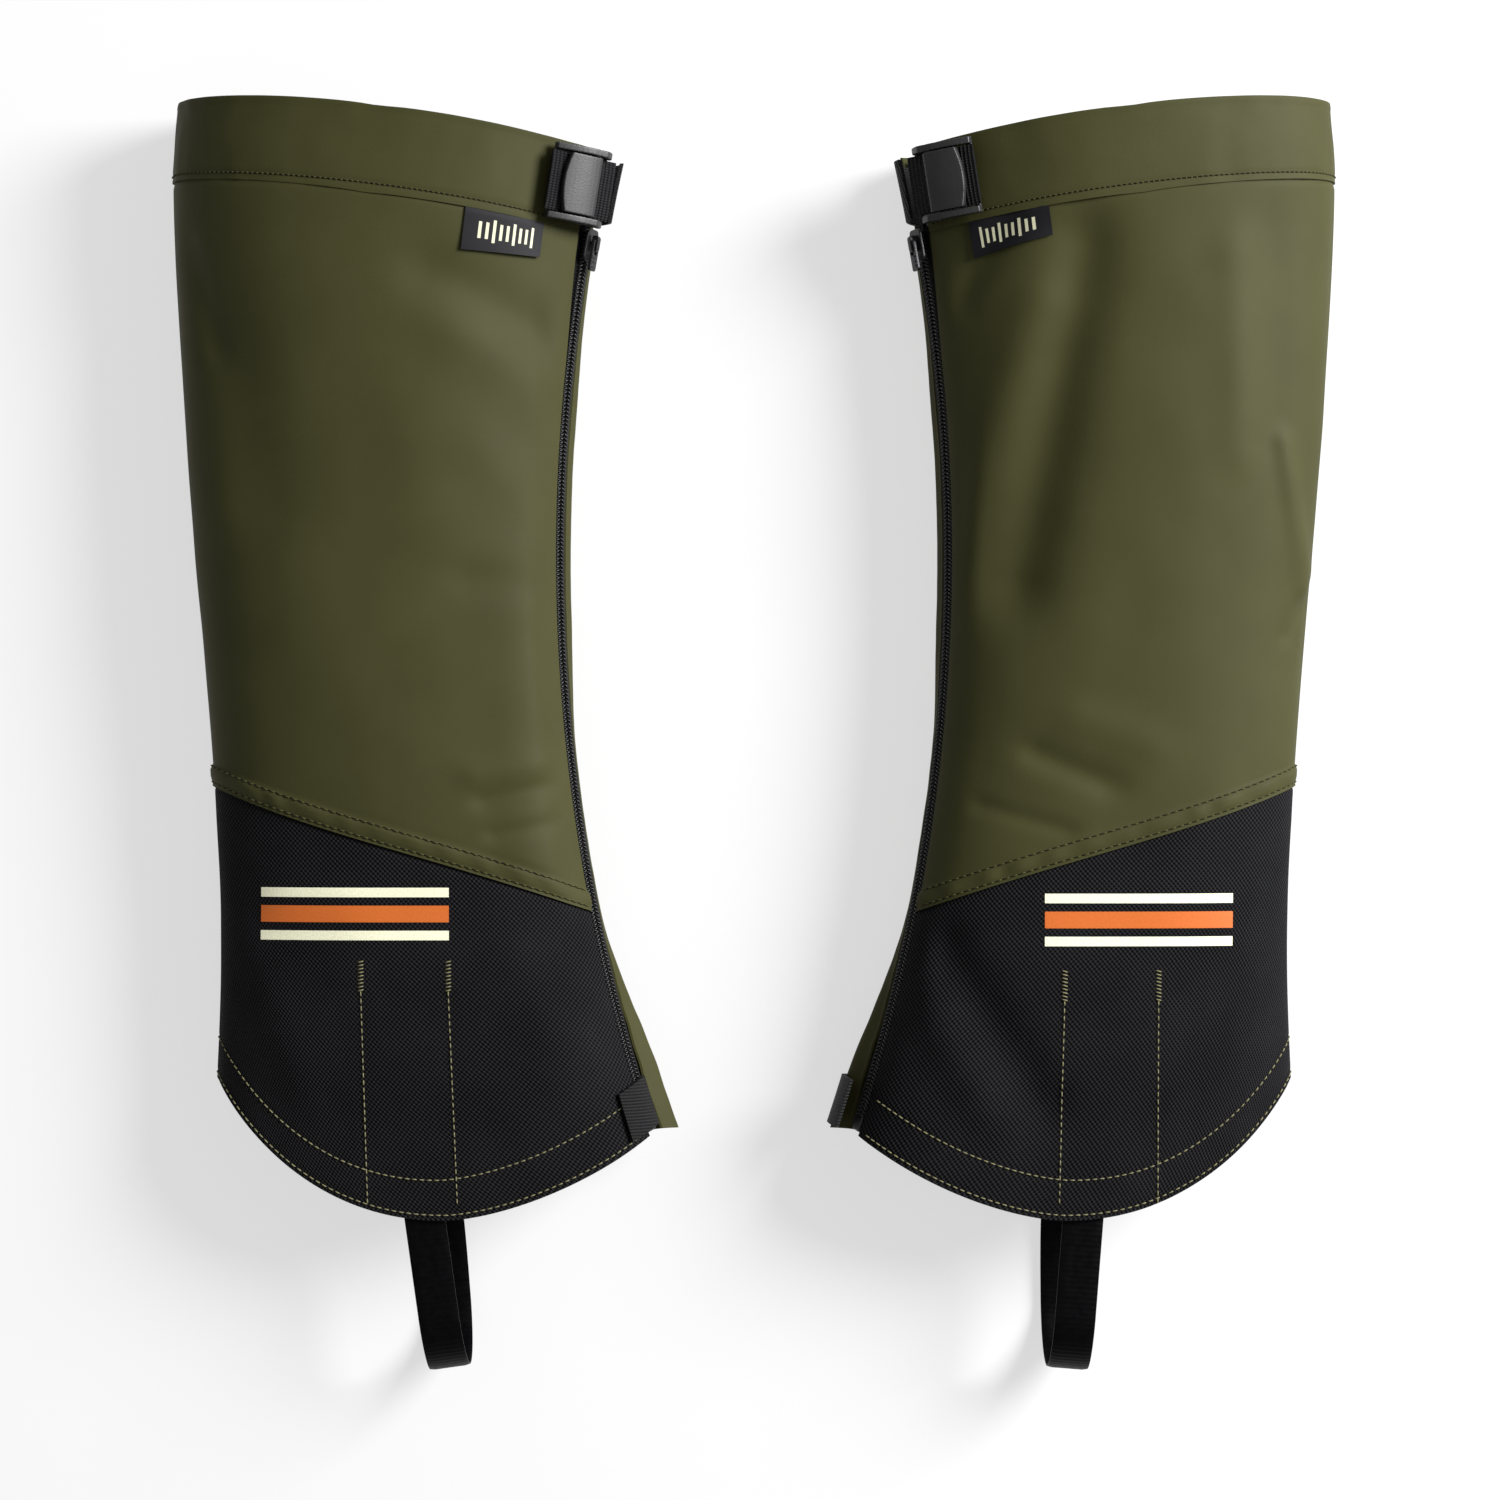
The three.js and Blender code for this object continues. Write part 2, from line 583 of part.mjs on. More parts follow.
// The station under the end of the strap's tail, and how high that end is above the skin.
function strapMeeting(side) {
  const group = buckleFrame(side);
  group.updateMatrixWorld();
  const end = group.localToWorld(new THREE.Vector3(END + TAIL_IN, 0, (TAIL_LOW + TAIL_HIGH) / 2));
  const tries = Array.from({ length: 100 }, (_, k) => mix(0, BUCKLE_Q[side], k / 100));
  const rises = tries.map((q) => end.distanceTo(skin(q, end.y)));
  const rise = Math.min(...rises);
  return [tries[rises.indexOf(rise)], rise];
}

function cuff(side) {
  const [meeting, rise] = strapMeeting(side);
  const strapEnd = 2 + meeting - STRAP_JOIN;
  const band = {
    first: outerFront,
    last: CUFF_END,
    low: cuffSeam,
    high: cuffTop,
    columns: 30,
    rows: 2,
  };
  const lining = { ...band, low: raised(cuffSeam, 1), high: raised(cuffTop, -1) };
  const strap = {
    first: still(OUTER_FRONT + OUTER_FRONT_OPEN + 0.03),
    last: strapEnd,
    low: raised(cuffMiddle, -WEBBING / 2),
    high: raised(cuffMiddle, WEBBING / 2),
    columns: 40,
    rows: 1,
    inner: STRAP_DEPTH - WEBBING_THICKNESS / 2,
    outer: STRAP_DEPTH + WEBBING_THICKNESS / 2,
    flare: (q) => smooth((q - STRAP_LEAVES) / (strapEnd - STRAP_LEAVES)) * (rise - STRAP_DEPTH),
  };
  return [
    mesh(`${side}_cuff_band`, sheet({ ...band, inner: -CLOTH, outer: 0 }), SHELL),
    mesh(
      `${side}_cuff_lining`,
      sheet({ ...lining, inner: LINING_DEPTH - THIN_CLOTH, outer: LINING_DEPTH }),
      LINING,
    ),
    mesh(`${side}_cuff_strap`, sheet(strap), WEB),
  ];
}

// The buckle's frame: local X runs along the strap towards the zip, Y across it, Z out of the cuff.
function buckleFrame(side) {
  const q = BUCKLE_Q[side];
  const y = cuffMiddle(across(q));
  const towardsZip = skin(q - 0.02, y).sub(skin(q + 0.02, y));
  const upLeg = skin(q, y + 10).sub(skin(q, y - 10));
  const z = towardsZip.clone().cross(upLeg).normalize();
  const x = towardsZip.applyMatrix4(new THREE.Matrix4().makeRotationZ(BUCKLE_YAW * RADIANS));
  const w = z.clone().cross(x).normalize();
  return frameAt(skin(q, y), w.clone().cross(z).normalize(), w, z);
}

const RAIL_IN = WEBBING / 2 + BUCKLE_SIDE_GAP;
const RAIL_OUT = RAIL_IN + RAIL;
const BASE_TOP = BUCKLE_LIFT + BASE_THICKNESS;
const TAIL_LOW = BASE_TOP + GAP;
const TAIL_HIGH = TAIL_LOW + WEBBING_THICKNESS;
const PIVOT_Z = TAIL_HIGH + GAP + HUB_RADIUS;
const END = BUCKLE_LENGTH / 2;

function buckleBody() {
  const side = new THREE.Shape();
  side.moveTo(-END, BUCKLE_LIFT);
  side.lineTo(END, BUCKLE_LIFT);
  side.quadraticCurveTo(END + 0.6, BUCKLE_LIFT + 4, PIVOT_U + 3.4, BUCKLE_LIFT + RAIL_HEIGHT + 0.6);
  side.lineTo(PIVOT_U - 3.4, BUCKLE_LIFT + RAIL_HEIGHT + 0.6);
  side.quadraticCurveTo(-6, BUCKLE_LIFT + RAIL_HEIGHT - 0.6, -END, BUCKLE_LIFT + 3);
  const rail = (w) => plate(side, w, w + RAIL, 6).rotateX(Math.PI / 2);
  const bar = box([-END, -RAIL_IN - 0.2, BUCKLE_LIFT], [-END + 2.4, RAIL_IN + 0.2, BASE_TOP]);
  const base = box([-3, -RAIL_IN - 0.2, BUCKLE_LIFT], [END - 2, RAIL_IN + 0.2, BASE_TOP]);
  const pivot = rod(PIVOT_RADIUS + PIVOT_CLEARANCE, 2 * RAIL_OUT + 2, [PIVOT_U, 0, PIVOT_Z], 1);
  return cut(joined(rail(RAIL_IN), rail(-RAIL_OUT), bar, base), pivot);
}

// The cam lever: a domed plate with a round hub, held by stub pins in the rails. Its free edge bows out.
function leverBody() {
  const half = RAIL_IN - LEVER_GAP;
  const dome = new THREE.Shape();
  const low = PIVOT_Z - HUB_RADIUS + 0.6;
  dome.moveTo(PIVOT_U, low);
  dome.lineTo(-END + 1, low);
  dome.lineTo(-END + 1, low + LEVER_THICKNESS - 1);
  dome.quadraticCurveTo(-3, low + LEVER_THICKNESS + 2.6, PIVOT_U, PIVOT_Z + HUB_RADIUS);
  const body = plate(dome, -half, half, 8).rotateX(Math.PI / 2);
  const plan = new THREE.Shape();
  plan.moveTo(PIVOT_U + HUB_RADIUS + 1, -half);
  plan.lineTo(PIVOT_U + HUB_RADIUS + 1, half);
  plan.lineTo(-END + 5.5, half);
  plan.quadraticCurveTo(-END + 1.5, 0, -END + 5.5, -half);
  const hub = rod(HUB_RADIUS, 2 * half, [PIVOT_U, 0, PIVOT_Z], 1, 20);
  const pin = rod(PIVOT_RADIUS, 2 * RAIL_OUT - 0.6, [PIVOT_U, 0, PIVOT_Z], 1);
  return joined(common(body, plate(plan, low - 2, low + 12, 8)), hub, pin);
}

// Webbing sewn flat to the cuff, under the frame.
function anchorStrip() {
  const middle = GAP + WEBBING_THICKNESS / 2;
  const ends = [new THREE.Vector2(-END + 2, middle), new THREE.Vector2(PIVOT_U, middle)];
  return ribbon(ends, WEBBING_THICKNESS, WEBBING - 1).rotateX(Math.PI / 2);
}

function buckle(side) {
  const group = buckleFrame(side);
  const half = WEBBING / 2;
  const tail = box([-END - TAIL_OUT[side], -half, TAIL_LOW], [END + TAIL_IN, half, TAIL_HIGH]);
  group.add(
    mesh(`${side}_buckle_frame`, buckleBody(), PLASTIC),
    mesh(`${side}_buckle_lever`, leverBody(), PLASTIC),
    mesh(`${side}_buckle_anchor`, anchorStrip(), WEB),
    mesh(`${side}_cuff_strap_tail`, tail, WEB),
  );
  return [group];
}

// ---- Instep strap

const HINGE_Y = HEM_LOW;
const ENDS_Y = HINGE_Y + STRAP_WIDTH / 2 + GAP; // where the strap's ends meet the loop
// How high the skin is over the point x, y.
function topHeight(x, y) {
  const c = (x - backX(y)) / halfWidth(y) - 1;
  const theta = Math.acos(Math.sign(c) * Math.abs(c) ** (WIDTH_POWER / 2));
  return station(theta / Math.PI, y)[1];
}

// The middle of the strap's outer run at height y, which clears the skin over both of its edges.
function strapHeight(y) {
  const edges = [STRAP_X - STRAP_WIDTH / 2, STRAP_X + STRAP_WIDTH / 2];
  return Math.min(...edges.map((x) => topHeight(x, y))) - CLOTH - STRAP_TUCK - STRAP_THICKNESS / 2;
}
const STRAP_TOP = strapHeight(HINGE_Y);
const STRAP_UNDER = CLOTH + STRAP_TUCK + STRAP_THICKNESS / 2; // middle of the lower run

// Points in the plane of Y and Z become a ribbon whose width runs along X.
function strapRibbon(points, width = STRAP_WIDTH) {
  const turned = new THREE.Matrix4().makeBasis(
    new THREE.Vector3(0, 1, 0),
    new THREE.Vector3(0, 0, 1),
    new THREE.Vector3(1, 0, 0),
  );
  return ribbon(points, STRAP_THICKNESS, width).applyMatrix4(turned);
}

// The loop under the boot. Its ends are round about the line it swings on.
function strapLoop() {
  const radius = (STRAP_TOP - STRAP_UNDER) / 2;
  const bendY = STRAP_LOW_Y - HINGE_Y + radius + STRAP_THICKNESS / 2;
  const half = STRAP_WIDTH / 2;
  const bend = arc(bendY, (STRAP_TOP + STRAP_UNDER) / 2, radius, 90, 270, 20);
  const line = [new THREE.Vector2(half, STRAP_TOP), ...bend, new THREE.Vector2(half, STRAP_UNDER)];
  const plan = new THREE.Shape();
  plan.absarc(0, 0, half, 0, Math.PI);
  plan.lineTo(-half, -100);
  plan.lineTo(half, -100);
  return common(strapRibbon(line), plate(plan, -1, CROWN_CUFF, 12));
}

// The strap's outer end climbs its sleeve and weaves over, under and over the adjuster's bars.
function strapEndOuter() {
  const dip = ADJUSTER_BAR + STRAP_THICKNESS + 2 * ADJUSTER_GAP;
  const end = ADJUSTER_LENGTH / 2;
  const points = [
    [ENDS_Y, 0],
    [ADJUSTER_Y - end + 2.2, 0],
    [ADJUSTER_Y - 2.4, dip],
    [ADJUSTER_Y + 2.4, dip],
    [ADJUSTER_Y + end - 2.2, 0],
    [ADJUSTER_Y + end + 14, 0],
  ];
  return strapRibbon(points.map(([y, drop]) => new THREE.Vector2(y, strapHeight(y) - drop))).translate(
    STRAP_X,
    0,
    0,
  );
}

function strapEndInner() {
  const points = [new THREE.Vector2(ENDS_Y, STRAP_UNDER), new THREE.Vector2(SLEEVE_TOP, STRAP_UNDER)];
  return strapRibbon(points).translate(STRAP_X, 0, 0);
}

// A three-bar slide: a rim with a bar across its middle.
function adjuster() {
  const half = STRAP_WIDTH / 2 + ADJUSTER_PLAY + ADJUSTER_RIM;
  const end = ADJUSTER_LENGTH / 2;
  const z = strapHeight(ADJUSTER_Y - end) - (STRAP_THICKNESS + ADJUSTER_BAR) / 2 - ADJUSTER_GAP;
  const rim = plate(roundedRectangle(-half, -end, half, end, 2.5), -ADJUSTER_BAR / 2, ADJUSTER_BAR / 2, 4);
  const slot = (y0, y1) => box([-half + ADJUSTER_RIM, y0, -5], [half - ADJUSTER_RIM, y1, 5]);
  const made = cut(rim, slot(-end + 2, -1.2), slot(1.2, end - 2));
  return made.translate(STRAP_X, ADJUSTER_Y, z);
}

function sleeve(top) {
  const shift = STRAP_WIDTH / 2 + SLEEVE_MARGIN;
  const inner = CLOTH + 2 * STRAP_TUCK + STRAP_THICKNESS;
  return slab(3, 6, (i, j, side) => {
    const x = STRAP_X + mix(-shift, shift, i / 3) * (top ? -1 : 1);
    const y = mix(ENDS_Y, SLEEVE_TOP, j / 6);
    const depth = inner + (side ? 0 : THIN_CLOTH);
    return new THREE.Vector3(x, y, top ? topHeight(x, y) - depth : depth);
  });
}

function instepStrap(side) {
  const loop = mesh(`${side}_instep_strap`, strapLoop(), COATED);
  loop.position.set(STRAP_X, HINGE_Y, 0);
  loop.rotation.z = STRAP_SWING[side] * RADIANS;
  return [
    loop,
    mesh(`${side}_strap_end_outer`, strapEndOuter(), COATED),
    mesh(`${side}_strap_end_inner`, strapEndInner(), COATED),
    mesh(`${side}_strap_adjuster`, adjuster(), PLASTIC),
    mesh(`${side}_strap_sleeve_outer`, sleeve(true), LINING),
    mesh(`${side}_strap_sleeve_inner`, sleeve(false), LINING),
  ];
}

// ---- Small pieces

function label(side) {
  const [first, last] = LABEL_SPAN;
  const shape = {
    first: still(first),
    last,
    low: raised(cuffSeam, -LABEL_DROP - 2 * GAP),
    high: raised(cuffSeam, -2 * GAP),
    columns: 4,
    rows: 2,
    inner: GAP,
    outer: GAP + 0.5,
  };
  return [mesh(`${side}_label_tab`, sheet(shape), WEB)];
}

// A webbing tab that bridges the bottom of the zip.
function bottomTab(side) {
  const [first, last] = TAB_SPAN[side];
  const inner = (side === "right" ? COIL_HIGH : PLACKET_FLARE_HEM) + GAP;
  const shape = {
    first: still(2 + first),
    last: 2 + last,
    low: raised(hem, 3),
    high: raised(hem, 3 + TAB_WIDTH),
    columns: 8,
    rows: 3,
    inner,
    outer: inner + TAB_THICKNESS,
  };
  return [mesh(`${side}_bottom_tab`, sheet(shape), WEB)];
}

// A flat wire-form hook for the boot's lace, inside the front corner of the hem.
function laceHook(side) {
  const y = hem(ZIP_ACROSS) + 8;
  const seat = skin(HOOK_Q, y, -CLOTH - HOOK_DEPTH);
  const z = skin(HOOK_Q, y, 0).sub(skin(HOOK_Q, y, -1)).normalize();
  const x = new THREE.Vector3(0, 1, 0).cross(z).normalize();
  const group = frameAt(seat, x, new THREE.Vector3(0, 1, 0), z);
  const bend = arc(-5, -2.4, 2.4, 90, 300, 8);
  const profile = ribbon([new THREE.Vector2(8, 0), ...bend], HOOK_THICKNESS, HOOK_WIDTH);
  profile.applyMatrix4(
    new THREE.Matrix4().makeBasis(
      new THREE.Vector3(0, 1, 0),
      new THREE.Vector3(0, 0, 1),
      new THREE.Vector3(1, 0, 0),
    ),
  );
  group.add(mesh(`${side}_lace_hook`, profile, METAL));
  return [group];
}

// ---- Assembly

function gaiter(side) {
  const group = new THREE.Group();
  for (const make of [shell, placket, zip, cuff, buckle, instepStrap, label, bottomTab, laceHook])
    group.add(...make(side));
  return group;
}

const pair = new THREE.Group();
const right = gaiter("right");
const left = gaiter("left");
left.scale.x = -1;
pair.add(right, left);

export default pair;
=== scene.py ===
"""The looks of a knee-high pair of gaiters, lying on their inner sides and seen from straight above.

Shapes are worked out in millimetres, in the right-leg gaiter's own place, with the same skin as the CAD
model: station q runs from the front edge over the top to the back seam (0 to 1), and on under the leg to the
front edge (1 to 2), and y runs up the leg. The left-leg gaiter is the mirror image, with folds of its own.
"""

import bisect
import math

import bpy
from mathutils import Matrix, Vector, noise


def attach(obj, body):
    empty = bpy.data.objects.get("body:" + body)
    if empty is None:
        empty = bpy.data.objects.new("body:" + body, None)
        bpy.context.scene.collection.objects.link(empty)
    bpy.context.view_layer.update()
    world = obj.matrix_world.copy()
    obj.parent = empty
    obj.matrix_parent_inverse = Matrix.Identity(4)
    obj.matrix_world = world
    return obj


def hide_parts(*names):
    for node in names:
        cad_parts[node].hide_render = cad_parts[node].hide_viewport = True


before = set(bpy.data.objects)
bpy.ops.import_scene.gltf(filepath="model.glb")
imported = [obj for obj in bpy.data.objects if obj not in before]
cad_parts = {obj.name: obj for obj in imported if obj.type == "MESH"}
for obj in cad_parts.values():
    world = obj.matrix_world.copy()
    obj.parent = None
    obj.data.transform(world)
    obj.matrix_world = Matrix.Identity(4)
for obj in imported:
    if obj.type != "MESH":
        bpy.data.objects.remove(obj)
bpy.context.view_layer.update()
MM = 0.001
SIDES = ("right", "left")

# ---- Sizes, in millimetres, as in the CAD model

GAP = 0.4
CLOTH = 1.0
THIN_CLOTH = 0.7
EDGE_HEIGHT = 26
CROWN_CUFF = 70
CROWN_HEM = 52
FRONT_CROWN = 60
WIDTH_POWER = 2.4
TOP_POWER = 2.2
FLAT_SHARE = 0.62
BACK_LINE = [(275, -243.5), (228, -246.5), (130, -241), (-27, -228.6), (-92, -226.3), (-202, -231)]
HEM_LOW = -202.7
ZIP_RADIUS = 766
ZIP_CENTRE_X = 684
ZIP_CENTRE_Y = 76
ZIP_THETA = math.radians(12)
ZIP_TILT = math.radians(68)
ZIP_TOP = 215
ZIP_BOTTOM = -160
COIL_GAP = 1.6
COIL_WIDTH = 2.4
COIL_HIGH = 0.6
TAPE_WIDTH = 8.5
TAPE_HIGH = -CLOTH - 2 * GAP
TAPE_LOW = TAPE_HIGH - 0.6
COIL_LOW = TAPE_HIGH + GAP
COIL_PITCH = 1.63
OUTER_FRONT = 0.098
OUTER_FRONT_OPEN = 0.03
HOOK_LOW, HOOK_HIGH = 0.01, 0.036
PLACKET_LOW, PLACKET_HIGH = 1.94, 2.004
PLACKET_FLARE, PLACKET_FLARE_CUFF = 2.9, 1.3
PLACKET_FLARE_ANKLE, PLACKET_FLARE_HEM = 0.7, 9.2
PLACKET_CREST, PLACKET_TUCK = 0.55, 0.8  # the cloth rolls back in under the zip
SEAM_HALF = 0.0025
WEBBING = 25
WEBBING_THICKNESS = 1.6
LINING_DEPTH = -5.2
STRAP_DEPTH = -3.1
CUFF_END = 1.955
STRAP_LEAVES = 1.975
STRAP_JOIN = 0.02
BUCKLE_Q = {"right": 0.178, "left": 0.225}
BUCKLE_YAW = math.radians(-8)
BUCKLE_END = 14
TAIL_LOW = 4.4
TAIL_OUT = {"right": 2, "left": 1}
TAIL_IN = 2
PIVOT_U = 4.6  # the lever's pin, along the strap
STRAP_WIDTH = 17
STRAP_LAP = 2.5
STRAP_THICKNESS = 1.6
STRAP_X = -138
STRAP_LOW_Y = -268.4
STRAP_SWING = {"right": math.radians(8), "left": math.radians(4.5)}
STRAP_TUCK = 0.9
SEAM_TAPE_HALF = 0.055
SEAM_TAPE_GAP = 0.8
HINGE_Y = HEM_LOW
ENDS_Y = HINGE_Y + STRAP_WIDTH / 2 + GAP
SLEEVE_MARGIN = 8.5
SLEEVE_TOP = -100
ADJUSTER_Y = -89
ADJUSTER_LENGTH = 20
ADJUSTER_DIP = 5.4  # how far the strap dips under the adjuster's middle bar
LABEL_SPAN = {"right": (0.24, 0.39), "left": (0.25, 0.4)}
TAB_SPAN = {"right": (0.035, 0.178), "left": (-0.035, 0.08)}
TAB_WIDTH = 20
TAB_THICKNESS = 1.4

# ---- Stitching, in millimetres

CUFF_STITCH = (1.0, 1.25)  # a stitch, and the space to the next one
SEAM_STITCH = (2.1, 1.3)
HEM_STITCH = (2.2, 0.9)
THREAD = 0.3
# The needle holes are dark dashes of painted shade, of this radius, lifted this far off the cloth.
NEEDLE_HOLE = 0.48
NEEDLE_HOLE_LIFT = 0.14
CUFF_ROW = 2.5  # above the cuff's lower edge
SEAM_ROWS = (1.7, 8.5)  # above the olive panel's lower edge
HEM_ROWS = (2.3, 17.0)  # above the hem
STITCH_START = 0.15  # a share of one stitch and its space
STITCH_ARCH = ((0, 0.0), (0.2, 0.42), (0.8, 0.42), (1, 0.0))  # shares of a stitch, and its heights there
HOLE_ENDS = (0.05, 0.95)  # shares of the space between two stitches
LAP = 5.0  # how far the black panel runs up under the olive one
CHANNELS = {"right": (-164.5, -162.0, -127.9, -124.3), "left": (-169.2, -169.2, -129.8, -127.8)}
CHANNEL_TOP = {"right": -106, "left": -110}
CHANNEL_BOTTOM = -196
TACK = 13.5  # the length of the bar tack above each channel line
TACK_PITCH = 1.45
TACK_HALF, TACK_SLANT = 1.25, 0.3
TACK_ARCH = ((-1, -0.1), (-0.5, 0.35), (0.5, 0.35), (1, -0.1))  # shares of its half width, and heights

# ---- Small pieces, in millimetres

STRAP_ASKEW = {"right": 4.2, "left": 6.0}  # how far the instep strap's lower run lies to one side
LABEL_DROPS = {"right": (14.5, 18.0), "left": (15.5, 12.5)}  # at the label's front and back ends
LABEL_FACES, LABEL_PRINT = (0.45, 0.95), 1.02  # heights off the cloth
FILM = (0.03, 0.17)  # the heights of the emblem's two faces
EMBLEM_AT = {"right": (-127.5, -63.0), "left": (-121.5, -65.5)}  # the block's front and top edges

# Folds: from x, y to x, y, with a width and a height. A height below 0 is a valley.
FOLDS = {
    "right": [
        (-134, 193, -78, 165, 12, -2.4),
        (-120, 169, -82, 141, 14, 1.7),
        (-118, 66, -80, 63, 9, -1.4),
        (-108, 115, -84, 87, 12, 1.1),
        (-112, -27, -78, -19, 4.5, -1.5),
        (-116, -16, -80, -9, 5, 0.9),
        (-108, -41, -74, -34, 3.5, -1.0),
        (-222, 175, -206, 103, 17, -2.4),
        (-239, 208, -226, 163, 6, -1.3),
        (-190, 63, -150, -17, 26, 1.4),
        (-95, 62, -92, -48, 15, 2.8),
        (-212, -87, -190, -147, 10, 1.2),
        (-100, -87, -78, -137, 12, 0.9),
    ],
    "left": [
        (-84, 82, -119, 179, 12, 2.3),
        (-110, 67, -137, 203, 14, -5.0),
        (-222, 123, -232, 63, 4.5, 2.2),
        (-217, 211, -219, 126, 11, -1.8),
        (-200, 200, -203, 120, 9, 1.1),
        (-118, -7, -148, -20, 6, -1.8),
        (-136, 7, -165, -3, 9, 1.1),
        (-86, 185, -106, 217, 7, -1.8),
        (-96, -29, -130, -39, 4, -0.9),
        (-80, -89, -120, -152, 11, -3.0),
        (-62, -97, -98, -159, 10, 1.6),
        (-236, 63, -225, 43, 3.5, -1.2),
    ],
}

# ---- Maths


def mix(a, b, t):
    return a + (b - a) * t


def smooth(t):
    k = min(1.0, max(0.0, t))
    return k * k * (3 - 2 * k)


def signed_power(value, power):
    return math.copysign(abs(value) ** power, value)


def line_through(points, key):
    """A smooth line through (key, value) points whose keys fall."""
    last = len(points) - 1
    above = [i for i, (k, _) in enumerate(points) if key <= k]
    i = min(last - 1, above[-1] if above else 0)
    (k1, v1), (k2, v2) = points[i], points[i + 1]

    def slope(a, b):
        return (b[1] - a[1]) / (b[0] - a[0])

    m1 = slope(points[max(0, i - 1)], points[i + 1])
    m2 = slope(points[i], points[min(last, i + 2)])
    h = k2 - k1
    t = (key - k1) / h
    rise = (t**3 - 2 * t * t + t) * h * m1 + (t**3 - t * t) * h * m2
    return (2 * t**3 - 3 * t * t + 1) * v1 + (3 * t * t - 2 * t**3) * v2 + rise


# ---- Edges and seams. c is the place across the tube: -1 at the back seam, 1 at the front edge.


def cuff_top(c):
    return 262.6 - 10.6 * c - 5.1 * c * c


def cuff_seam(c):
    return 226.8 - 11.3 * c - 3.4 * c * c


def boot_seam(c):
    return -47.6 - 23.8 * c - 3.4 * c**3


def hem(c):
    return HEM_LOW + (58.6 * abs(c) ** 2.2 if c < 0 else 36.5 * c**1.55)


def raised(edge, by):
    return lambda c: edge(c) + by


# ---- The skin


def zip_x(y):
    return ZIP_CENTRE_X - math.sqrt(ZIP_RADIUS**2 - (y - ZIP_CENTRE_Y) ** 2)


def top_across(theta):
    return signed_power(math.cos(theta), 2 / WIDTH_POWER)


def crown_share(theta):
    return abs(math.sin(theta)) ** (2 / TOP_POWER)


ZIP_ACROSS = top_across(ZIP_THETA)
ZIP_Z = EDGE_HEIGHT + (FRONT_CROWN - EDGE_HEIGHT) * crown_share(ZIP_THETA)


def back_x(y):
    return line_through(BACK_LINE, y)


def half_width(y):
    return (zip_x(y) - back_x(y)) / (1 + ZIP_ACROSS)


def crown(y):
    return mix(CROWN_HEM, CROWN_CUFF, (y - HEM_LOW) / (cuff_top(0) - HEM_LOW))


def station(q, y):
    """Where station q is across the tube, and how high it is."""
    turn = q % 2
    if turn <= 1:
        theta = turn * math.pi
        height = mix(FRONT_CROWN, crown(y), smooth((math.degrees(theta) - 25) / 65))
        return top_across(theta), EDGE_HEIGHT + (height - EDGE_HEIGHT) * crown_share(theta)
    along = (turn - 1) * 4
    if 1 < along < 3:
        return FLAT_SHARE * (along - 2), 0.0
    side = -1 if along <= 1 else 1
    phi = (along if along <= 1 else 4 - along) * math.pi / 2
    return side * (FLAT_SHARE + (1 - FLAT_SHARE) * math.cos(phi)), EDGE_HEIGHT * (1 - math.sin(phi))


def across(q):
    return station(q, 0)[0]


def station_at(x, y):
    """The station on the top of the tube that is over the point x, y."""
    c = max(-1.0, min(1.0, (x - back_x(y)) / half_width(y) - 1))
    return math.acos(signed_power(c, WIDTH_POWER / 2)) / math.pi


def section_point(q, y):
    c, z = station(q, y)
    return Vector((back_x(y) + half_width(y) * (1 + c), z))


def skin(q, y, depth=0.0):
    """A point of the skin, moved out of it by depth."""
    here = section_point(q, y)
    tangent = (section_point(q + 0.003, y) - section_point(q - 0.003, y)).normalized()
    return Vector((here.x + tangent.y * depth, y, here.y - tangent.x * depth))


# ---- Folds


def fold_height(fold, x, y):
    """How far one fold lifts the cloth at x, y: a rounded ridge that dies away past its two ends."""
    x0, y0, x1, y1, width, height = fold
    along = Vector((x1 - x0, y1 - y0))
    length = along.length
    along.normalize()
    offset = Vector((x - x0, y - y0))
    t = offset.dot(along)
    side = offset.x * along.y - offset.y * along.x
    past = max(0.0, -t, t - length)
    return height * math.exp(-((side / width) ** 2)) * math.exp(-((past / (1.3 * width)) ** 2))


def pucker(side, x, y, edge):
    """The cloth's ripple between the two rows of stitches along the olive panel's lower edge."""
    low, high = SEAM_ROWS
    between = smooth((y - edge - low) / 1.6) * smooth((edge + high - y) / 1.6)
    seed = 11.0 if side == "right" else 47.0
    phase = x / 2.3 + 2.2 * noise.noise(Vector((x / 17, seed, 0)))
    strength = 0.25 + 0.5 * abs(noise.noise(Vector((x / 30, seed, 5))))
    return between * (0.28 + strength * math.sin(phase))


def groove(distance, width, depth):
    """A row of stitches draws the cloth in along its line."""
    return -depth * math.exp(-((distance / width) ** 2))


def relief(side, q, y):
    """How far the shell's cloth stands off the plain skin over the top of the leg."""
    turn = q % 2
    if turn > 1:
        return 0.0
    c = across(q)
    x = section_point(q, y).x
    seed = 3.0 if side == "right" else 29.0
    lift = sum(fold_height(fold, x, y) for fold in FOLDS[side])
    lift += 1.1 * noise.noise(Vector((x / 70, y / 95, seed)))
    lift += 0.35 * noise.noise(Vector((x / 24, y / 30, seed + 7)))
    seam, cuff = boot_seam(c), cuff_seam(c)
    calm = smooth(abs(y - seam) / 14) * 0.75 + 0.25
    calm *= smooth((cuff + 14 - y) / 26) * 0.8 + 0.2
    edge = smooth((q - 0.14) / 0.1) * smooth((1 - q) / 0.06)
    return lift * calm * edge


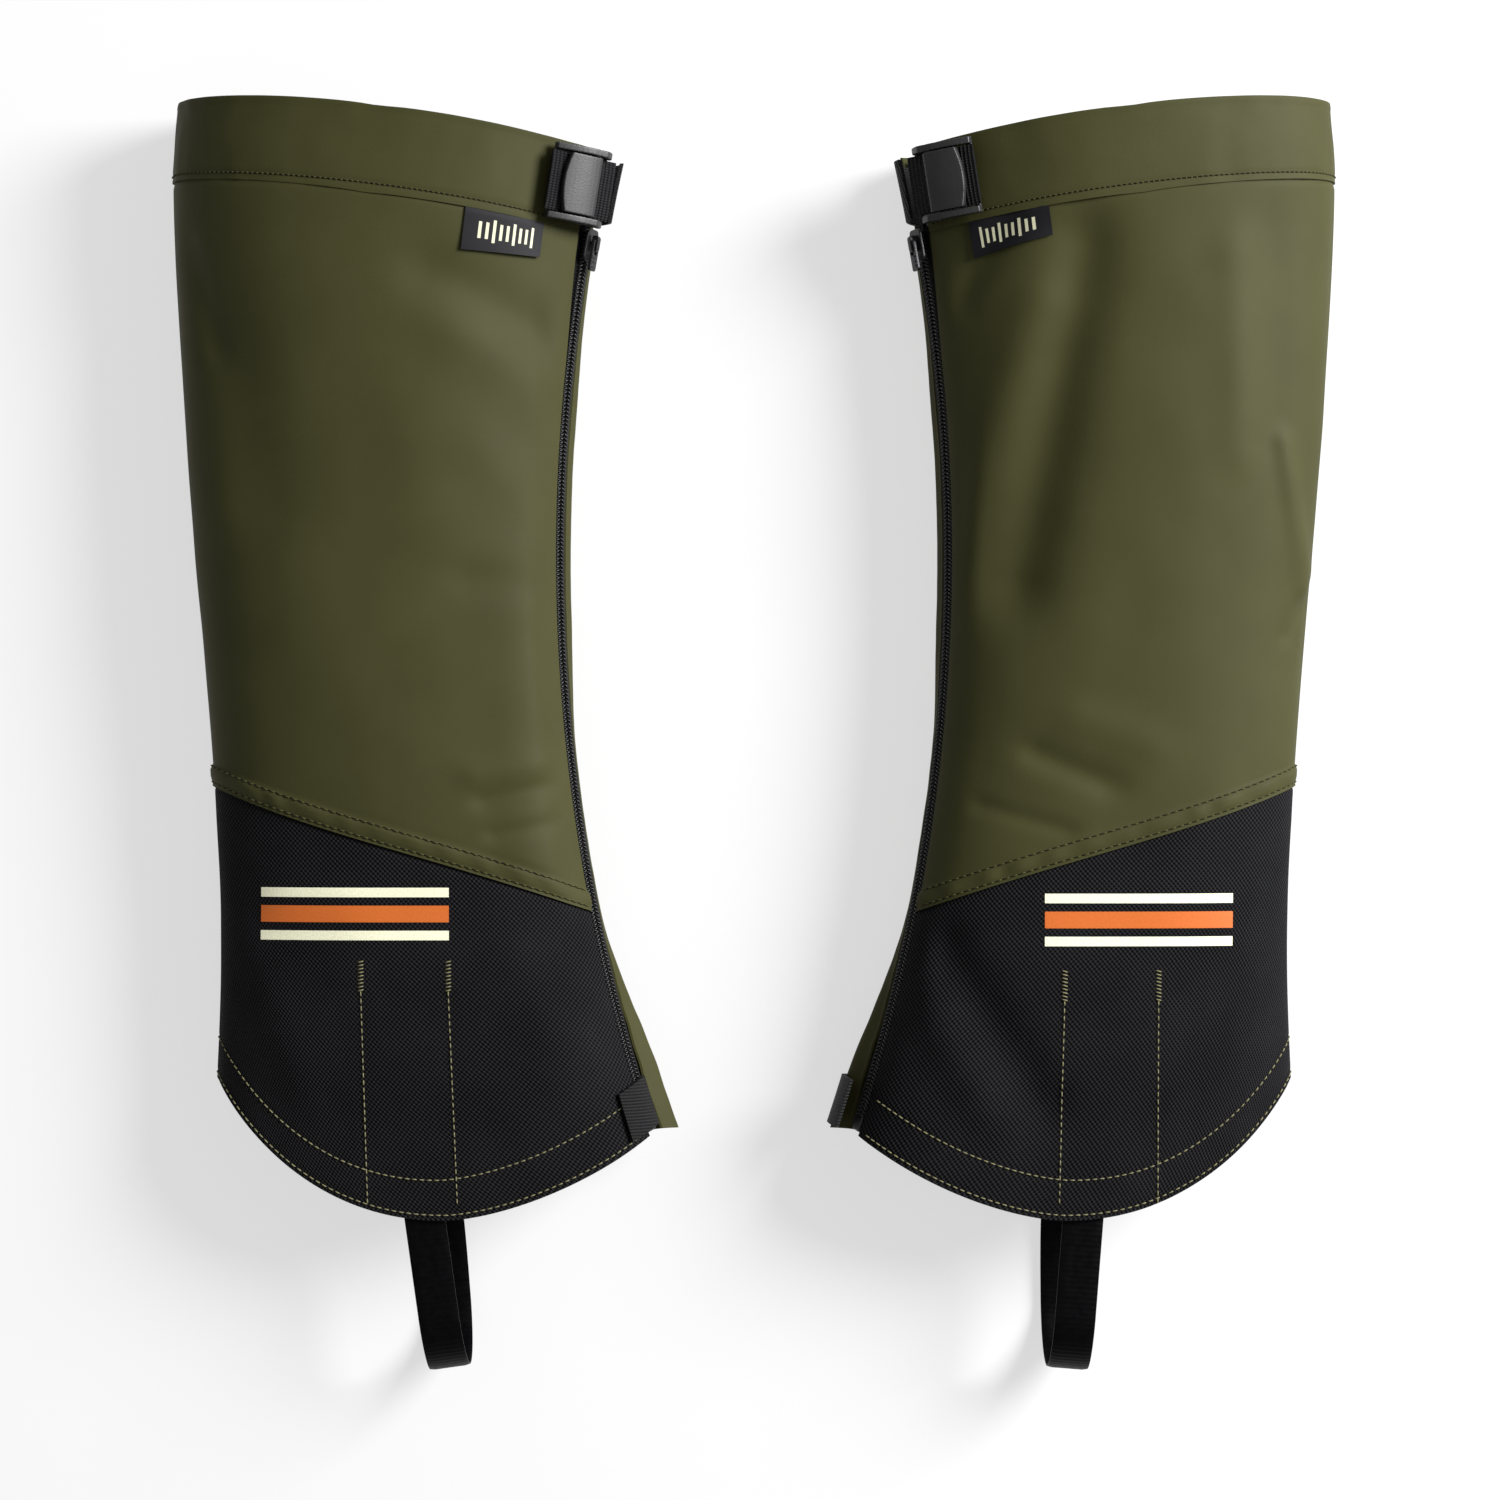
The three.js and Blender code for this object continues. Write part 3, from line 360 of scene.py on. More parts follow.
def seam_relief(side, q, y):
    """The olive upper panel, with the lap along its lower edge and the cuff sewn over its top."""
    c = across(q)
    x = section_point(q, y).x
    edge = boot_seam(c)
    lift = 0.85 * (1 - smooth((y - edge - SEAM_ROWS[1] + 0.4) / 1.6))
    for row in SEAM_ROWS:
        lift += groove(y - edge - row, 0.9, 0.3)
    lift += pucker(side, x, y, edge)
    lift -= 0.5 * smooth((y - cuff_seam(c) + 2.5) / 2)
    return lift


def boot_relief(side, q, y):
    """The black lower panel, drawn in along its stitched lines and tucked under the olive one."""
    c = across(q)
    lift = -0.55 * smooth((y - boot_seam(c) + 2.5) / 2.5)
    for row in HEM_ROWS:
        lift += groove(y - hem(c) - row, 1.0, 0.28)
    if q % 2 < 1 and CHANNEL_BOTTOM - 8 < y < CHANNEL_TOP[side]:
        for line in channel_lines(side):
            lift += groove(section_point(q, y).x - channel_x(line, side, y), 1.1, 0.3)
    return lift


def cuff_relief(side, q, y):
    """The cuff band: its lower edge laps over the panel, and its top edge is rolled."""
    c = across(q)
    seam, top = cuff_seam(c), cuff_top(c)
    seed = 5.0 if side == "right" else 71.0
    over_top = 1.0 if q % 2 < 1 else 0.0
    lift = 0.35 + groove(y - seam - CUFF_ROW, 1.0, 0.3)
    lift += over_top * 0.7 * noise.noise(Vector((q * 7, y / 30, seed)))
    lift += over_top * 0.3 * noise.noise(Vector((q * 26, y / 18, seed)))
    lift += 0.25 * math.exp(-(((top - y - 1.6) / 1.2) ** 2))
    return lift * smooth((q - 0.14) / 0.05) if over_top else 0.0


def channel_lines(side):
    return CHANNELS[side][:2], CHANNELS[side][2:]


def channel_x(line, side, y):
    return mix(line[1], line[0], (y - CHANNEL_BOTTOM) / (CHANNEL_TOP[side] - CHANNEL_BOTTOM))


def shell_depth(side, q, y):
    """How far the shell's outer face is from the plain skin: what is sewn on it follows this."""
    c = across(q)
    own = seam_relief if y > boot_seam(c) else boot_relief
    return relief(side, q, y) + own(side, q, y)


# ---- Meshes


def add_object(name, data):
    made = bpy.data.objects.new(name, data)
    bpy.context.scene.collection.objects.link(made)
    return made


def make_piece(name, side, points, faces, look, uvs=None, rim_start=None):
    """A mesh from points in millimetres, in the right-leg gaiter's place. The left one's is mirrored. Faces
    from rim_start on are flat, with sharp edges."""
    mirrored = side == "left"
    sign = -1 if mirrored else 1
    mesh = bpy.data.meshes.new(f"{side}_{name}")
    turned = [tuple(reversed(face)) if mirrored else tuple(face) for face in faces]
    mesh.from_pydata([(sign * p[0] * MM, p[1] * MM, p[2] * MM) for p in points], [], turned)
    mesh.materials.append(look)
    for polygon in mesh.polygons:
        polygon.use_smooth = rim_start is None or polygon.index < rim_start
    if rim_start is not None:
        rim = {key for polygon in mesh.polygons[rim_start:] for key in polygon.edge_keys}
        sharp = mesh.attributes.new("sharp_edge", "BOOLEAN", "EDGE")
        for edge in mesh.edges:
            sharp.data[edge.index].value = tuple(sorted(edge.vertices)) in rim
    if uvs is not None:
        layer = mesh.uv_layers.new(name="cloth")
        for loop in mesh.loops:
            layer.data[loop.index].uv = uvs[loop.vertex_index]
    mesh.update()
    return add_object(f"{side}_{name}", mesh)


def settle(piece, side, body, slot, *nodes):
    """Says which body a piece rides on, and which CAD nodes it stands for. slot is not used."""
    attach(piece, f"{side}_{body}")
    if nodes:
        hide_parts(*[f"{side}_{node}" for node in nodes])
    return piece


def slab(name, side, columns, rows, place, look, lengthwise=False):
    """A closed slab. place(i, j, face) gives a point: face 1 is the outer face. UVs are millimetres of cloth,
    along each row and up the leg, or for a lengthwise slab along it and across it."""
    points, uvs = [], []
    for face in (0, 1):
        length, start = 0.0, None
        for j in range(rows + 1):
            line = [place(i, j, face) for i in range(columns + 1)]
            length += (line[0] - start).length if start else 0.0
            start = line[0]
            run = 0.0
            for i, p in enumerate(line):
                run += (p - line[i - 1]).length if i else 0.0
                points.append(p)
                uvs.append((length, run) if lengthwise else (run, p.y))

    def at(i, j, face):
        return (face * (rows + 1) + j) * (columns + 1) + i

    faces, rim = [], []
    for i in range(columns):
        for j in range(rows):
            faces.append((at(i, j, 1), at(i, j + 1, 1), at(i + 1, j + 1, 1), at(i + 1, j, 1)))
            faces.append((at(i, j, 0), at(i + 1, j, 0), at(i + 1, j + 1, 0), at(i, j + 1, 0)))
        rim.append((at(i, 0, 0), at(i, 0, 1), at(i + 1, 0, 1), at(i + 1, 0, 0)))
        rim.append((at(i + 1, rows, 0), at(i + 1, rows, 1), at(i, rows, 1), at(i, rows, 0)))
    for j in range(rows):
        rim.append((at(0, j + 1, 0), at(0, j + 1, 1), at(0, j, 1), at(0, j, 0)))
        rim.append((at(columns, j, 0), at(columns, j, 1), at(columns, j + 1, 1), at(columns, j + 1, 0)))
    return make_piece(name, side, points, faces + rim, look, uvs, len(faces))


def stations(first, last, columns):
    """Stations from first to last, closer together where the skin turns sharply."""
    samples = 400
    totals = [0.0]
    for k in range(samples):
        q = mix(first, last, (k + 0.5) / samples)
        totals.append(totals[-1] + 1 + 2.5 * math.exp(-((abs(q - round(q)) / 0.12) ** 2)))
    found, k = [], 0
    for i in range(columns + 1):
        wanted = totals[-1] * i / columns
        while k < samples - 1 and totals[k + 1] <= wanted:
            k += 1
        found.append(mix(first, last, (k + (wanted - totals[k]) / (totals[k + 1] - totals[k])) / samples))
    return found


def cloth(name, side, look, first, last, low, high, columns, rows, inner, outer, flare=None):
    """A sheet of cloth on the skin. first may be a number or a function of y; flare adds to the depth."""
    start = first if callable(first) else lambda y: first
    nominal = stations(start(0), last, columns)

    def place(i, j, face):
        c = across(nominal[i])
        y = mix(low(c), high(c), j / rows)
        q = nominal[i] + (start(y) - start(0)) * (1 - i / columns)
        return skin(q, y, (outer if face else inner) + (flare(q, y) if flare else 0))

    return slab(name, side, columns, rows, place, look)


def tube_mesh(paths, radius, sides=6, taper=True):
    """Points and faces of round threads, one along each path of points."""
    points, faces = [], []
    for path in paths:
        start = len(points)
        for k, p in enumerate(path):
            along = (path[min(len(path) - 1, k + 1)] - path[max(0, k - 1)]).normalized()
            side = along.cross(Vector((0, 0, 1)))
            side = side.normalized() if side.length > 1e-6 else Vector((1, 0, 0))
            up = side.cross(along)
            ends = taper and k in (0, len(path) - 1)
            r = radius * (0.45 if ends else 1)
            for s in range(sides):
                angle = 2 * math.pi * s / sides
                points.append(p + side * (r * math.cos(angle)) + up * (r * math.sin(angle)))
        for k in range(len(path) - 1):
            for s in range(sides):
                a, b = start + k * sides + s, start + k * sides + (s + 1) % sides
                faces.append((a, b, b + sides, a + sides))
        faces.append(tuple(start + s for s in reversed(range(sides))))
        faces.append(tuple(start + (len(path) - 1) * sides + s for s in range(sides)))
    return points, faces


# ---- Materials


def new_material(name, color, roughness, metallic=0.0, specular=0.4, sheen=0.0):
    material = bpy.data.materials.new(name)
    material.use_nodes = True
    shader = material.node_tree.nodes["Principled BSDF"]
    shader.inputs["Base Color"].default_value = (*color, 1)
    shader.inputs["Roughness"].default_value = roughness
    shader.inputs["Metallic"].default_value = metallic
    shader.inputs["Specular IOR Level"].default_value = specular
    shader.inputs["Sheen Weight"].default_value = sheen
    shader.inputs["Sheen Roughness"].default_value = 0.45
    return material, shader


class Graph:
    """A material, with small helpers for building its procedural nodes."""

    def __init__(self, *args, **kwargs):
        self.material, self.shader = new_material(*args, **kwargs)
        self.tree = self.material.node_tree

    def drive(self, **sockets):
        """Links the shader's sockets, and gives back the material."""
        for key, value in sockets.items():
            self.tree.links.new(value, self.shader.inputs[key.replace("_", " ")])
        return self.material

    def node(self, kind, **inputs):
        made = self.tree.nodes.new(kind)
        for key, value in inputs.items():
            socket = made.inputs[key.replace("_", " ")]
            if isinstance(value, bpy.types.NodeSocket):
                self.tree.links.new(value, socket)
            else:
                socket.default_value = value
        return made

    def math(self, operation, a, b=0.0):
        made = self.tree.nodes.new("ShaderNodeMath")
        made.operation = operation
        for socket, value in zip(made.inputs, (a, b)):
            if isinstance(value, bpy.types.NodeSocket):
                self.tree.links.new(value, socket)
            else:
                socket.default_value = value
        return made.outputs[0]

    def coordinates(self, layer=None):
        """Millimetres of cloth from a UV layer, or the object's own place in metres."""
        if layer:
            made = self.tree.nodes.new("ShaderNodeUVMap")
            made.uv_map = layer
            return made.outputs["UV"]
        return self.tree.nodes.new("ShaderNodeTexCoord").outputs["Object"]

    def noise(self, vector, scale, detail=3.0, roughness=0.5):
        made = self.node("ShaderNodeTexNoise", Vector=vector, Scale=scale, Detail=detail, Roughness=roughness)
        return made.outputs["Fac"]

    def ramp(self, factor, stops):
        """A colour ramp with (position, linear colour) stops."""
        made = self.node("ShaderNodeValToRGB", Fac=factor)
        ramp = made.color_ramp
        while len(ramp.elements) < len(stops):
            ramp.elements.new(0.5)
        for element, (position, color) in zip(ramp.elements, stops):
            element.position = position
            element.color = (*color, 1)
        return made.outputs["Color"]

    def range(self, value, low, high):
        return self.node("ShaderNodeMapRange", Value=value, To_Min=low, To_Max=high).outputs["Result"]

    def wave(self, value, period, shift=0.0):
        """A sine of a length, from -1 to 1."""
        turns = self.math("MULTIPLY", value, 2 * math.pi / period)
        return self.math("SINE", self.math("ADD", turns, shift))

    def bump(self, height, strength, distance, normal=None):
        made = self.node("ShaderNodeBump", Height=height, Strength=strength, Distance=distance)
        if normal is not None:
            self.tree.links.new(normal, made.inputs["Normal"])
        return made.outputs["Normal"]

    def split(self, vector):
        made = self.node("ShaderNodeSeparateXYZ", Vector=vector)
        return made.outputs["X"], made.outputs["Y"]


def woven(name, dark, light, pitch, depth, roughness, specular, sheen, grain=0.0):
    """A plain weave: over and under threads as bump, with slub and broad random tone. The colour also follows
    the weave: painted highlight on the raised crossings and painted shade between them, stronger with grain.
    """
    graph = Graph(name, light, sum(roughness) / 2, specular=specular, sheen=sheen)
    uv = graph.coordinates("cloth")
    u, v = graph.split(uv)
    weave = graph.math("MULTIPLY", graph.wave(u, pitch), graph.wave(v, pitch))
    slub = graph.noise(uv, 0.9, 4)
    broad = graph.noise(uv, 0.03, 3)
    threads = graph.math("ADD", graph.math("MULTIPLY", weave, 0.5), graph.math("MULTIPLY", slub, 0.6))
    # Painted highlight and shade: the tone takes the weave, lighter on the raised crossings and darker
    # between them.
    tone = graph.math("ADD", graph.math("MULTIPLY", threads, 0.35), graph.math("MULTIPLY", broad, 0.65))
    # grain paints more highlight on the crossings and more shade in the hollows between them.
    if grain:
        tone = graph.math("ADD", tone, graph.math("MULTIPLY", weave, grain))
    return graph.drive(
        Base_Color=graph.ramp(tone, [(0.15, dark), (0.75, light)]),
        Roughness=graph.range(slub, *roughness),
        Normal=graph.bump(threads, 1.0, depth * MM),
    )


def ribbed(name, dark, light, along, across_pitch, depth, roughness):
    """Webbing: ribs across its length, with the knit's smaller loops along each rib."""
    graph = Graph(name, light, roughness, specular=0.14)
    uv = graph.coordinates("cloth")
    u, v = graph.split(uv)
    if along == "y":
        u, v = v, u
    rib = graph.math("ABSOLUTE", graph.wave(u, 2 * across_pitch))
    loops = graph.wave(v, 1.1)
    height = graph.math("ADD", rib, graph.math("MULTIPLY", graph.math("MULTIPLY", loops, rib), 0.3))
    wear = graph.noise(uv, 0.5, 4)
    # The colour follows the rib height: painted highlight on the ribs and painted shade in the grooves. Wear
    # is random tone.
    tone = graph.math("ADD", graph.math("MULTIPLY", height, 0.6), graph.math("MULTIPLY", wear, 0.4))
    colour = graph.ramp(tone, [(0.1, dark), (0.95, light)])
    return graph.drive(Base_Color=colour, Normal=graph.bump(height, 1.0, depth * MM))


def fuzzy(name):
    """Hook tape: a dense field of tiny hooks."""
    graph = Graph(name, (0.003, 0.003, 0.0035), 0.85, specular=0.1, sheen=0.05)
    uv = graph.coordinates("cloth")
    dots = graph.node("ShaderNodeTexVoronoi", Vector=uv, Scale=1.3).outputs["Distance"]
    tufts = graph.math("SUBTRACT", 1.0, dots)
    # Lighter at each tuft's middle, where the bump rises, and darker at its edge: painted highlight and
    # painted shade.
    colour = graph.ramp(dots, [(0.0, (0.009, 0.009, 0.01)), (0.5, (0.001, 0.001, 0.0012))])
    return graph.drive(Base_Color=colour, Normal=graph.bump(tufts, 1.0, 0.7 * MM))


def moulded(name, dark, light, roughness, metallic=0.0, scale=900.0, depth=0.06):
    """Moulded or plated parts: a fine spark-eroded grain, with handling wear."""
    graph = Graph(name, light, sum(roughness) / 2, metallic, specular=0.5)
    place = graph.coordinates()
    grain = graph.noise(place, scale, 2)
    wear = graph.noise(place, 90.0, 4)
    return graph.drive(
        Base_Color=graph.ramp(wear, [(0.35, dark), (0.7, light)]),
        Roughness=graph.range(wear, *roughness),
        Normal=graph.bump(grain, 0.6, depth * MM),
    )


def coated(name):
    """The instep strap's smooth coating, with the faint cross ridges of the cloth under it."""
    graph = Graph(name, (0.0008, 0.0008, 0.001), 0.42, specular=0.05)
    uv = graph.coordinates("cloth")
    ridges = graph.wave(graph.split(uv)[0], 2.2)
    scuff = graph.noise(uv, 0.35, 5)
    height = graph.math("ADD", graph.math("MULTIPLY", ridges, 0.5), scuff)
    return graph.drive(
        Roughness=graph.range(scuff, 0.34, 0.55),
        Base_Color=graph.ramp(scuff, [(0.3, (0.0006, 0.0006, 0.0008)), (0.8, (0.0016, 0.0016, 0.002))]),
        Normal=graph.bump(height, 0.5, 0.12 * MM),
    )


def thread(name, color):
    """Sewing thread, with its twist."""
    graph = Graph(name, color, 0.7, specular=0.12)
    twist = graph.noise(graph.coordinates(), 1500.0, 1)
    shade = [(0.3, tuple(0.7 * k for k in color)), (0.7, color)]
    return graph.drive(Base_Color=graph.ramp(twist, shade), Normal=graph.bump(twist, 0.5, 0.1 * MM))


def printed(name, color):
    """A heat-pressed film on coarse cloth, which shows the weave through it."""
    graph = Graph(name, color, 0.5, specular=0.35)
    uv = graph.coordinates("cloth")
    u, v = graph.split(uv)
    weave = graph.math("MULTIPLY", graph.wave(u, 1.2), graph.wave(v, 1.2))
    speck = graph.noise(uv, 1.2, 4)
    shade = [(0.25, tuple(0.82 * k for k in color)), (0.6, color)]
    return graph.drive(Base_Color=graph.ramp(speck, shade), Normal=graph.bump(weave, 0.35, 0.1 * MM))


OLIVE = woven(
    "olive_cloth", (0.030, 0.0295, 0.0085), (0.040, 0.0392, 0.0125), 0.62, 0.05, (0.55, 0.68), 0.12, 0.0
)
LEVER = moulded(
    "lever_plastic", (0.005, 0.005, 0.0055), (0.009, 0.009, 0.010), (0.46, 0.58), scale=1500.0, depth=0.09
)
LABEL = woven("label_cloth", (0.003, 0.003, 0.004), (0.007, 0.007, 0.009), 0.7, 0.05, (0.5, 0.6), 0.14, 0.0)
CREAM_WEAVE = printed("label_bars", (0.5, 0.49, 0.34))
# grain=0.75 here: strong painted highlight on the basket weave's raised crossings, with painted shade between
# them.
BLACK = woven(
    "black_basket_cloth", (0.0004, 0.0004, 0.0005), (0.0125, 0.0125, 0.0142), 2.1, 0.34, (0.6, 0.8), 0.05,
    0.0, grain=0.75,
)
LINING = woven("lining_cloth", (0.02, 0.021, 0.017), (0.035, 0.036, 0.03), 0.8, 0.06, (0.6, 0.8), 0.3, 0.2)
TAPE = woven("zip_tape", (0.0015, 0.0015, 0.0018), (0.004, 0.004, 0.0045), 0.9, 0.12, (0.7, 0.9), 0.1, 0.02)
HOOKS = fuzzy("hook_tape")
ELASTIC = ribbed("elastic_webbing", (0.001, 0.001, 0.0012), (0.012, 0.012, 0.0135), "x", 1.8, 0.6, 0.6)
RIBBON = ribbed("herringbone_webbing", (0.001, 0.001, 0.0012), (0.008, 0.008, 0.009), "y", 1.3, 0.3, 0.6)
PLASTIC = moulded("moulded_plastic", (0.004, 0.004, 0.0045), (0.008, 0.008, 0.009), (0.4, 0.52))
COIL = moulded("zip_coil", (0.003, 0.003, 0.0035), (0.008, 0.008, 0.009), (0.34, 0.48))
METAL = moulded("plated_metal", (0.012, 0.012, 0.013), (0.026, 0.026, 0.028), (0.34, 0.48), 0.7)
COATED = coated("coated_strap")
PALE_THREAD = thread("khaki_thread", (0.17, 0.16, 0.085))
OLIVE_THREAD = thread("olive_thread", (0.054, 0.052, 0.018))
# The needle holes' dark colour is painted shade.
HOLE_SHADE = thread("needle_hole_shade", (0.0025, 0.0025, 0.0015))
ORANGE = printed("orange_film", (0.47, 0.105, 0.012))
CREAM = printed("cream_film", (0.72, 0.71, 0.52))

# The emblem's plain stripes: look, then the two heights, from the block's top edge.
EMBLEM_STRIPES = [(CREAM, -4, 0), (ORANGE, -14.5, -7.5), (CREAM, -22, -18)]
EMBLEM_WIDTH = 79

# ---- Shell


def outer_front(y):
    return OUTER_FRONT + OUTER_FRONT_OPEN * smooth((y - 153) / 70)


def make_shell(side):
    last = 1 - SEAM_HALF
    upper = cloth(
        "upper_outer_cloth", side, OLIVE, outer_front, last, boot_seam, raised(cuff_seam, 0.4), 120, 190,
        -CLOTH, 0, lambda q, y: relief(side, q, y) + seam_relief(side, q, y),
    )
    settle(upper, side, "shell", "shell_cloth", "upper_outer_panel")
    lower = cloth(
        "lower_outer_cloth", side, BLACK, outer_front, last, hem, raised(boot_seam, LAP), 120, 110,
        -CLOTH, 0, lambda q, y: relief(side, q, y) + boot_relief(side, q, y),
    )
    settle(lower, side, "shell", "reinforcement_cloth", "lower_outer_panel")
    first, last = 1 + SEAM_HALF, PLACKET_LOW - 0.004
    under = cloth(
        "upper_inner_cloth", side, OLIVE, first, last, raised(boot_seam, GAP), raised(cuff_seam, -GAP),
        50, 60, -CLOTH, 0,
    )
    settle(under, side, "shell", "shell_cloth", "upper_inner_panel")
    under_low = cloth("lower_inner_cloth", side, BLACK, first, last, hem, boot_seam, 50, 40, -CLOTH, 0)
    settle(under_low, side, "shell", "reinforcement_cloth", "lower_inner_panel")
    tape = cloth(
        "back_seam_binding", side, LINING, 1 - SEAM_TAPE_HALF, 1 + SEAM_TAPE_HALF, raised(hem, 8),
        raised(cuff_seam, -4), 10, 80, -CLOTH - SEAM_TAPE_GAP - THIN_CLOTH, -CLOTH - SEAM_TAPE_GAP,
    )
    settle(tape, side, "shell", "lining_cloth", "back_seam_tape")


def placket_flare(q, y):
    upper = mix(PLACKET_FLARE, PLACKET_FLARE_CUFF, smooth((y - 133) / 70))
    lower = mix(PLACKET_FLARE_ANKLE, PLACKET_FLARE_HEM, smooth((-70 - y) / 80))
    t = (q - PLACKET_LOW) / (PLACKET_HIGH - PLACKET_LOW)
    bulge = smooth(t / PLACKET_CREST) * (1 - PLACKET_TUCK * smooth((t - PLACKET_CREST) / (1 - PLACKET_CREST)))
    return bulge * mix(upper, lower, smooth((50 - y) / 60))


def make_placket(side):
    seed = 17.0 if side == "right" else 61.0

    def wavy(q, y):
        out = smooth((q - PLACKET_LOW) / (PLACKET_HIGH - PLACKET_LOW))
        slow = 0.5 * noise.noise(Vector((0, y / 26, seed))) + 0.25 * noise.noise(Vector((0, y / 9, seed)))
        return placket_flare(q, y) + out * slow * mix(0.6, 1.6, smooth((20 - y) / 180))

    strip = cloth(
        "placket_cloth", side, OLIVE, PLACKET_LOW, PLACKET_HIGH, hem, raised(cuff_seam, -GAP), 14, 190,
        -CLOTH, 0, wavy,
    )
    settle(strip, side, "shell", "shell_cloth", "front_placket")
    hooks = cloth(
        "hook_tape", side, HOOKS, HOOK_LOW, HOOK_HIGH, raised(hem, 2), raised(cuff_seam, -GAP), 8, 150,
        -CLOTH, 0, lambda q, y: 0.12 * noise.noise(Vector((q * 260, y / 1.7, seed))),
    )
    settle(hooks, side, "shell", "hook_tape", "hook_strip")


# ---- Zip


def on_zip(s, n, alpha):
    r = ZIP_RADIUS + s * math.cos(ZIP_TILT) - n * math.sin(ZIP_TILT)
    z = ZIP_Z + s * math.sin(ZIP_TILT) + n * math.cos(ZIP_TILT)
    return Vector((ZIP_CENTRE_X - r * math.cos(alpha), ZIP_CENTRE_Y + r * math.sin(alpha), z))


def zip_angle(y):
    return math.asin((y - ZIP_CENTRE_Y) / ZIP_RADIUS)


def zip_bend(y):
    """How fast the skin falls away from the zip's face: the drop is this times the distance squared."""
    drops = []
    for q in (HOOK_LOW, OUTER_FRONT + OUTER_FRONT_OPEN):
        p = skin(q, y)
        r = math.hypot(p.x - ZIP_CENTRE_X, y - ZIP_CENTRE_Y) - ZIP_RADIUS
        s = r * math.cos(ZIP_TILT) + (p.z - ZIP_Z) * math.sin(ZIP_TILT)
        n = (p.z - ZIP_Z) * math.cos(ZIP_TILT) - r * math.sin(ZIP_TILT)
        drops.append(-n / (s * s))
    return 1.1 * max(drops)


def zip_point(s, n, t):
    """A point of the zip's own section, t of the way up the zip."""
    alpha = mix(zip_angle(ZIP_BOTTOM), zip_angle(ZIP_TOP), t)
    bend = zip_bend(ZIP_CENTRE_Y + ZIP_RADIUS * math.sin(alpha)) * s * s
    return on_zip(s, n - bend, alpha)


def make_zip_tape(side, name, direction):
    columns, rows = 6, 150
    inner, outer = direction * COIL_GAP / 2, direction * (COIL_GAP / 2 + TAPE_WIDTH)
    low, high = min(inner, outer), max(inner, outer)

    def place(i, j, face):
        return zip_point(mix(low, high, i / columns), TAPE_HIGH if face else TAPE_LOW, j / rows)

    tape = slab(f"zip_cloth_{name}", side, columns, rows, place, TAPE)
    settle(tape, side, "shell", "hook_tape", f"zip_tape_{name}")


def make_zip_coil(side, name, direction):
    """The coil is one long spiral of monofilament."""
    wire = 0.34
    reach = COIL_WIDTH / 2 - wire
    height = (COIL_HIGH - COIL_LOW) / 2 - wire
    length = ZIP_RADIUS * (zip_angle(ZIP_TOP) - zip_angle(ZIP_BOTTOM))
    turns = int(length / COIL_PITCH)
    steps = 10
    path = []
    for k in range(turns * steps + 1):
        angle = 2 * math.pi * k / steps
        s = direction * (COIL_GAP / 2 + COIL_WIDTH / 2 + reach * math.cos(angle))
        n = (COIL_HIGH + COIL_LOW) / 2 + height * math.sin(angle)
        path.append(zip_point(s, n, k / (turns * steps)))
    points, faces = tube_mesh([path], wire, 5, taper=False)
    coil = make_piece(f"zip_spiral_{name}", side, points, faces, COIL)
    settle(coil, side, "shell", "zip_coil", f"zip_coil_{name}")


def make_zip(side):
    for name, direction in (("outer", 1), ("inner", -1)):
        make_zip_tape(side, name, direction)
        make_zip_coil(side, name, direction)


# ---- Cuff


def cuff_middle(c):
    return (cuff_top(c) + cuff_seam(c)) / 2


def make_cuff(side):
    band = cloth(
        "cuff_cloth", side, OLIVE, outer_front, CUFF_END, cuff_seam, cuff_top, 200, 34, -CLOTH, 0,
        lambda q, y: cuff_relief(side, q, y),
    )
    settle(band, side, "shell", "shell_cloth", "cuff_band")
    lining = cloth(
        "cuff_lining_cloth", side, LINING, outer_front, CUFF_END, raised(cuff_seam, 1), raised(cuff_top, -1),
        90, 10, LINING_DEPTH - THIN_CLOTH, LINING_DEPTH,
    )
    settle(lining, side, "shell", "lining_cloth", "cuff_lining")

    meeting, rise = strap_meeting(side)
    strap_end = 2 + meeting - STRAP_JOIN

    def strap_flare(q, y):
        return smooth((q - STRAP_LEAVES) / (strap_end - STRAP_LEAVES)) * (rise - STRAP_DEPTH)

    strap = cloth(
        "cuff_webbing", side, ELASTIC, OUTER_FRONT + OUTER_FRONT_OPEN + 0.03, strap_end,
        raised(cuff_middle, -WEBBING / 2), raised(cuff_middle, WEBBING / 2), 240, 8,
        STRAP_DEPTH - WEBBING_THICKNESS / 2, STRAP_DEPTH + WEBBING_THICKNESS / 2, strap_flare,
    )
    settle(strap, side, "shell", "webbing", "cuff_strap")


# ---- Buckle


def buckle_frame(side):
    """The buckle's own place: X along the strap towards the zip, Y across it, Z out of the cuff."""
    q = BUCKLE_Q[side]
    y = cuff_middle(across(q))
    towards_zip = skin(q - 0.02, y) - skin(q + 0.02, y)
    up_leg = skin(q, y + 10) - skin(q, y - 10)
    z = towards_zip.cross(up_leg).normalized()
    x = Matrix.Rotation(BUCKLE_YAW, 3, "Z") @ towards_zip
    w = z.cross(x).normalized()
    matrix = Matrix((w.cross(z).normalized(), w, z)).transposed().to_4x4()
    matrix.translation = skin(q, y)
    return matrix


def strap_meeting(side):
    """The station under the end of the strap's tail, and how high that end is above the skin."""
    end = buckle_frame(side) @ Vector((BUCKLE_END + TAIL_IN, 0, TAIL_LOW + WEBBING_THICKNESS / 2))
    tries = [mix(0, BUCKLE_Q[side], k / 100) for k in range(100)]
    return min(((end - skin(q, end.y)).length, q) for q in tries)[::-1]


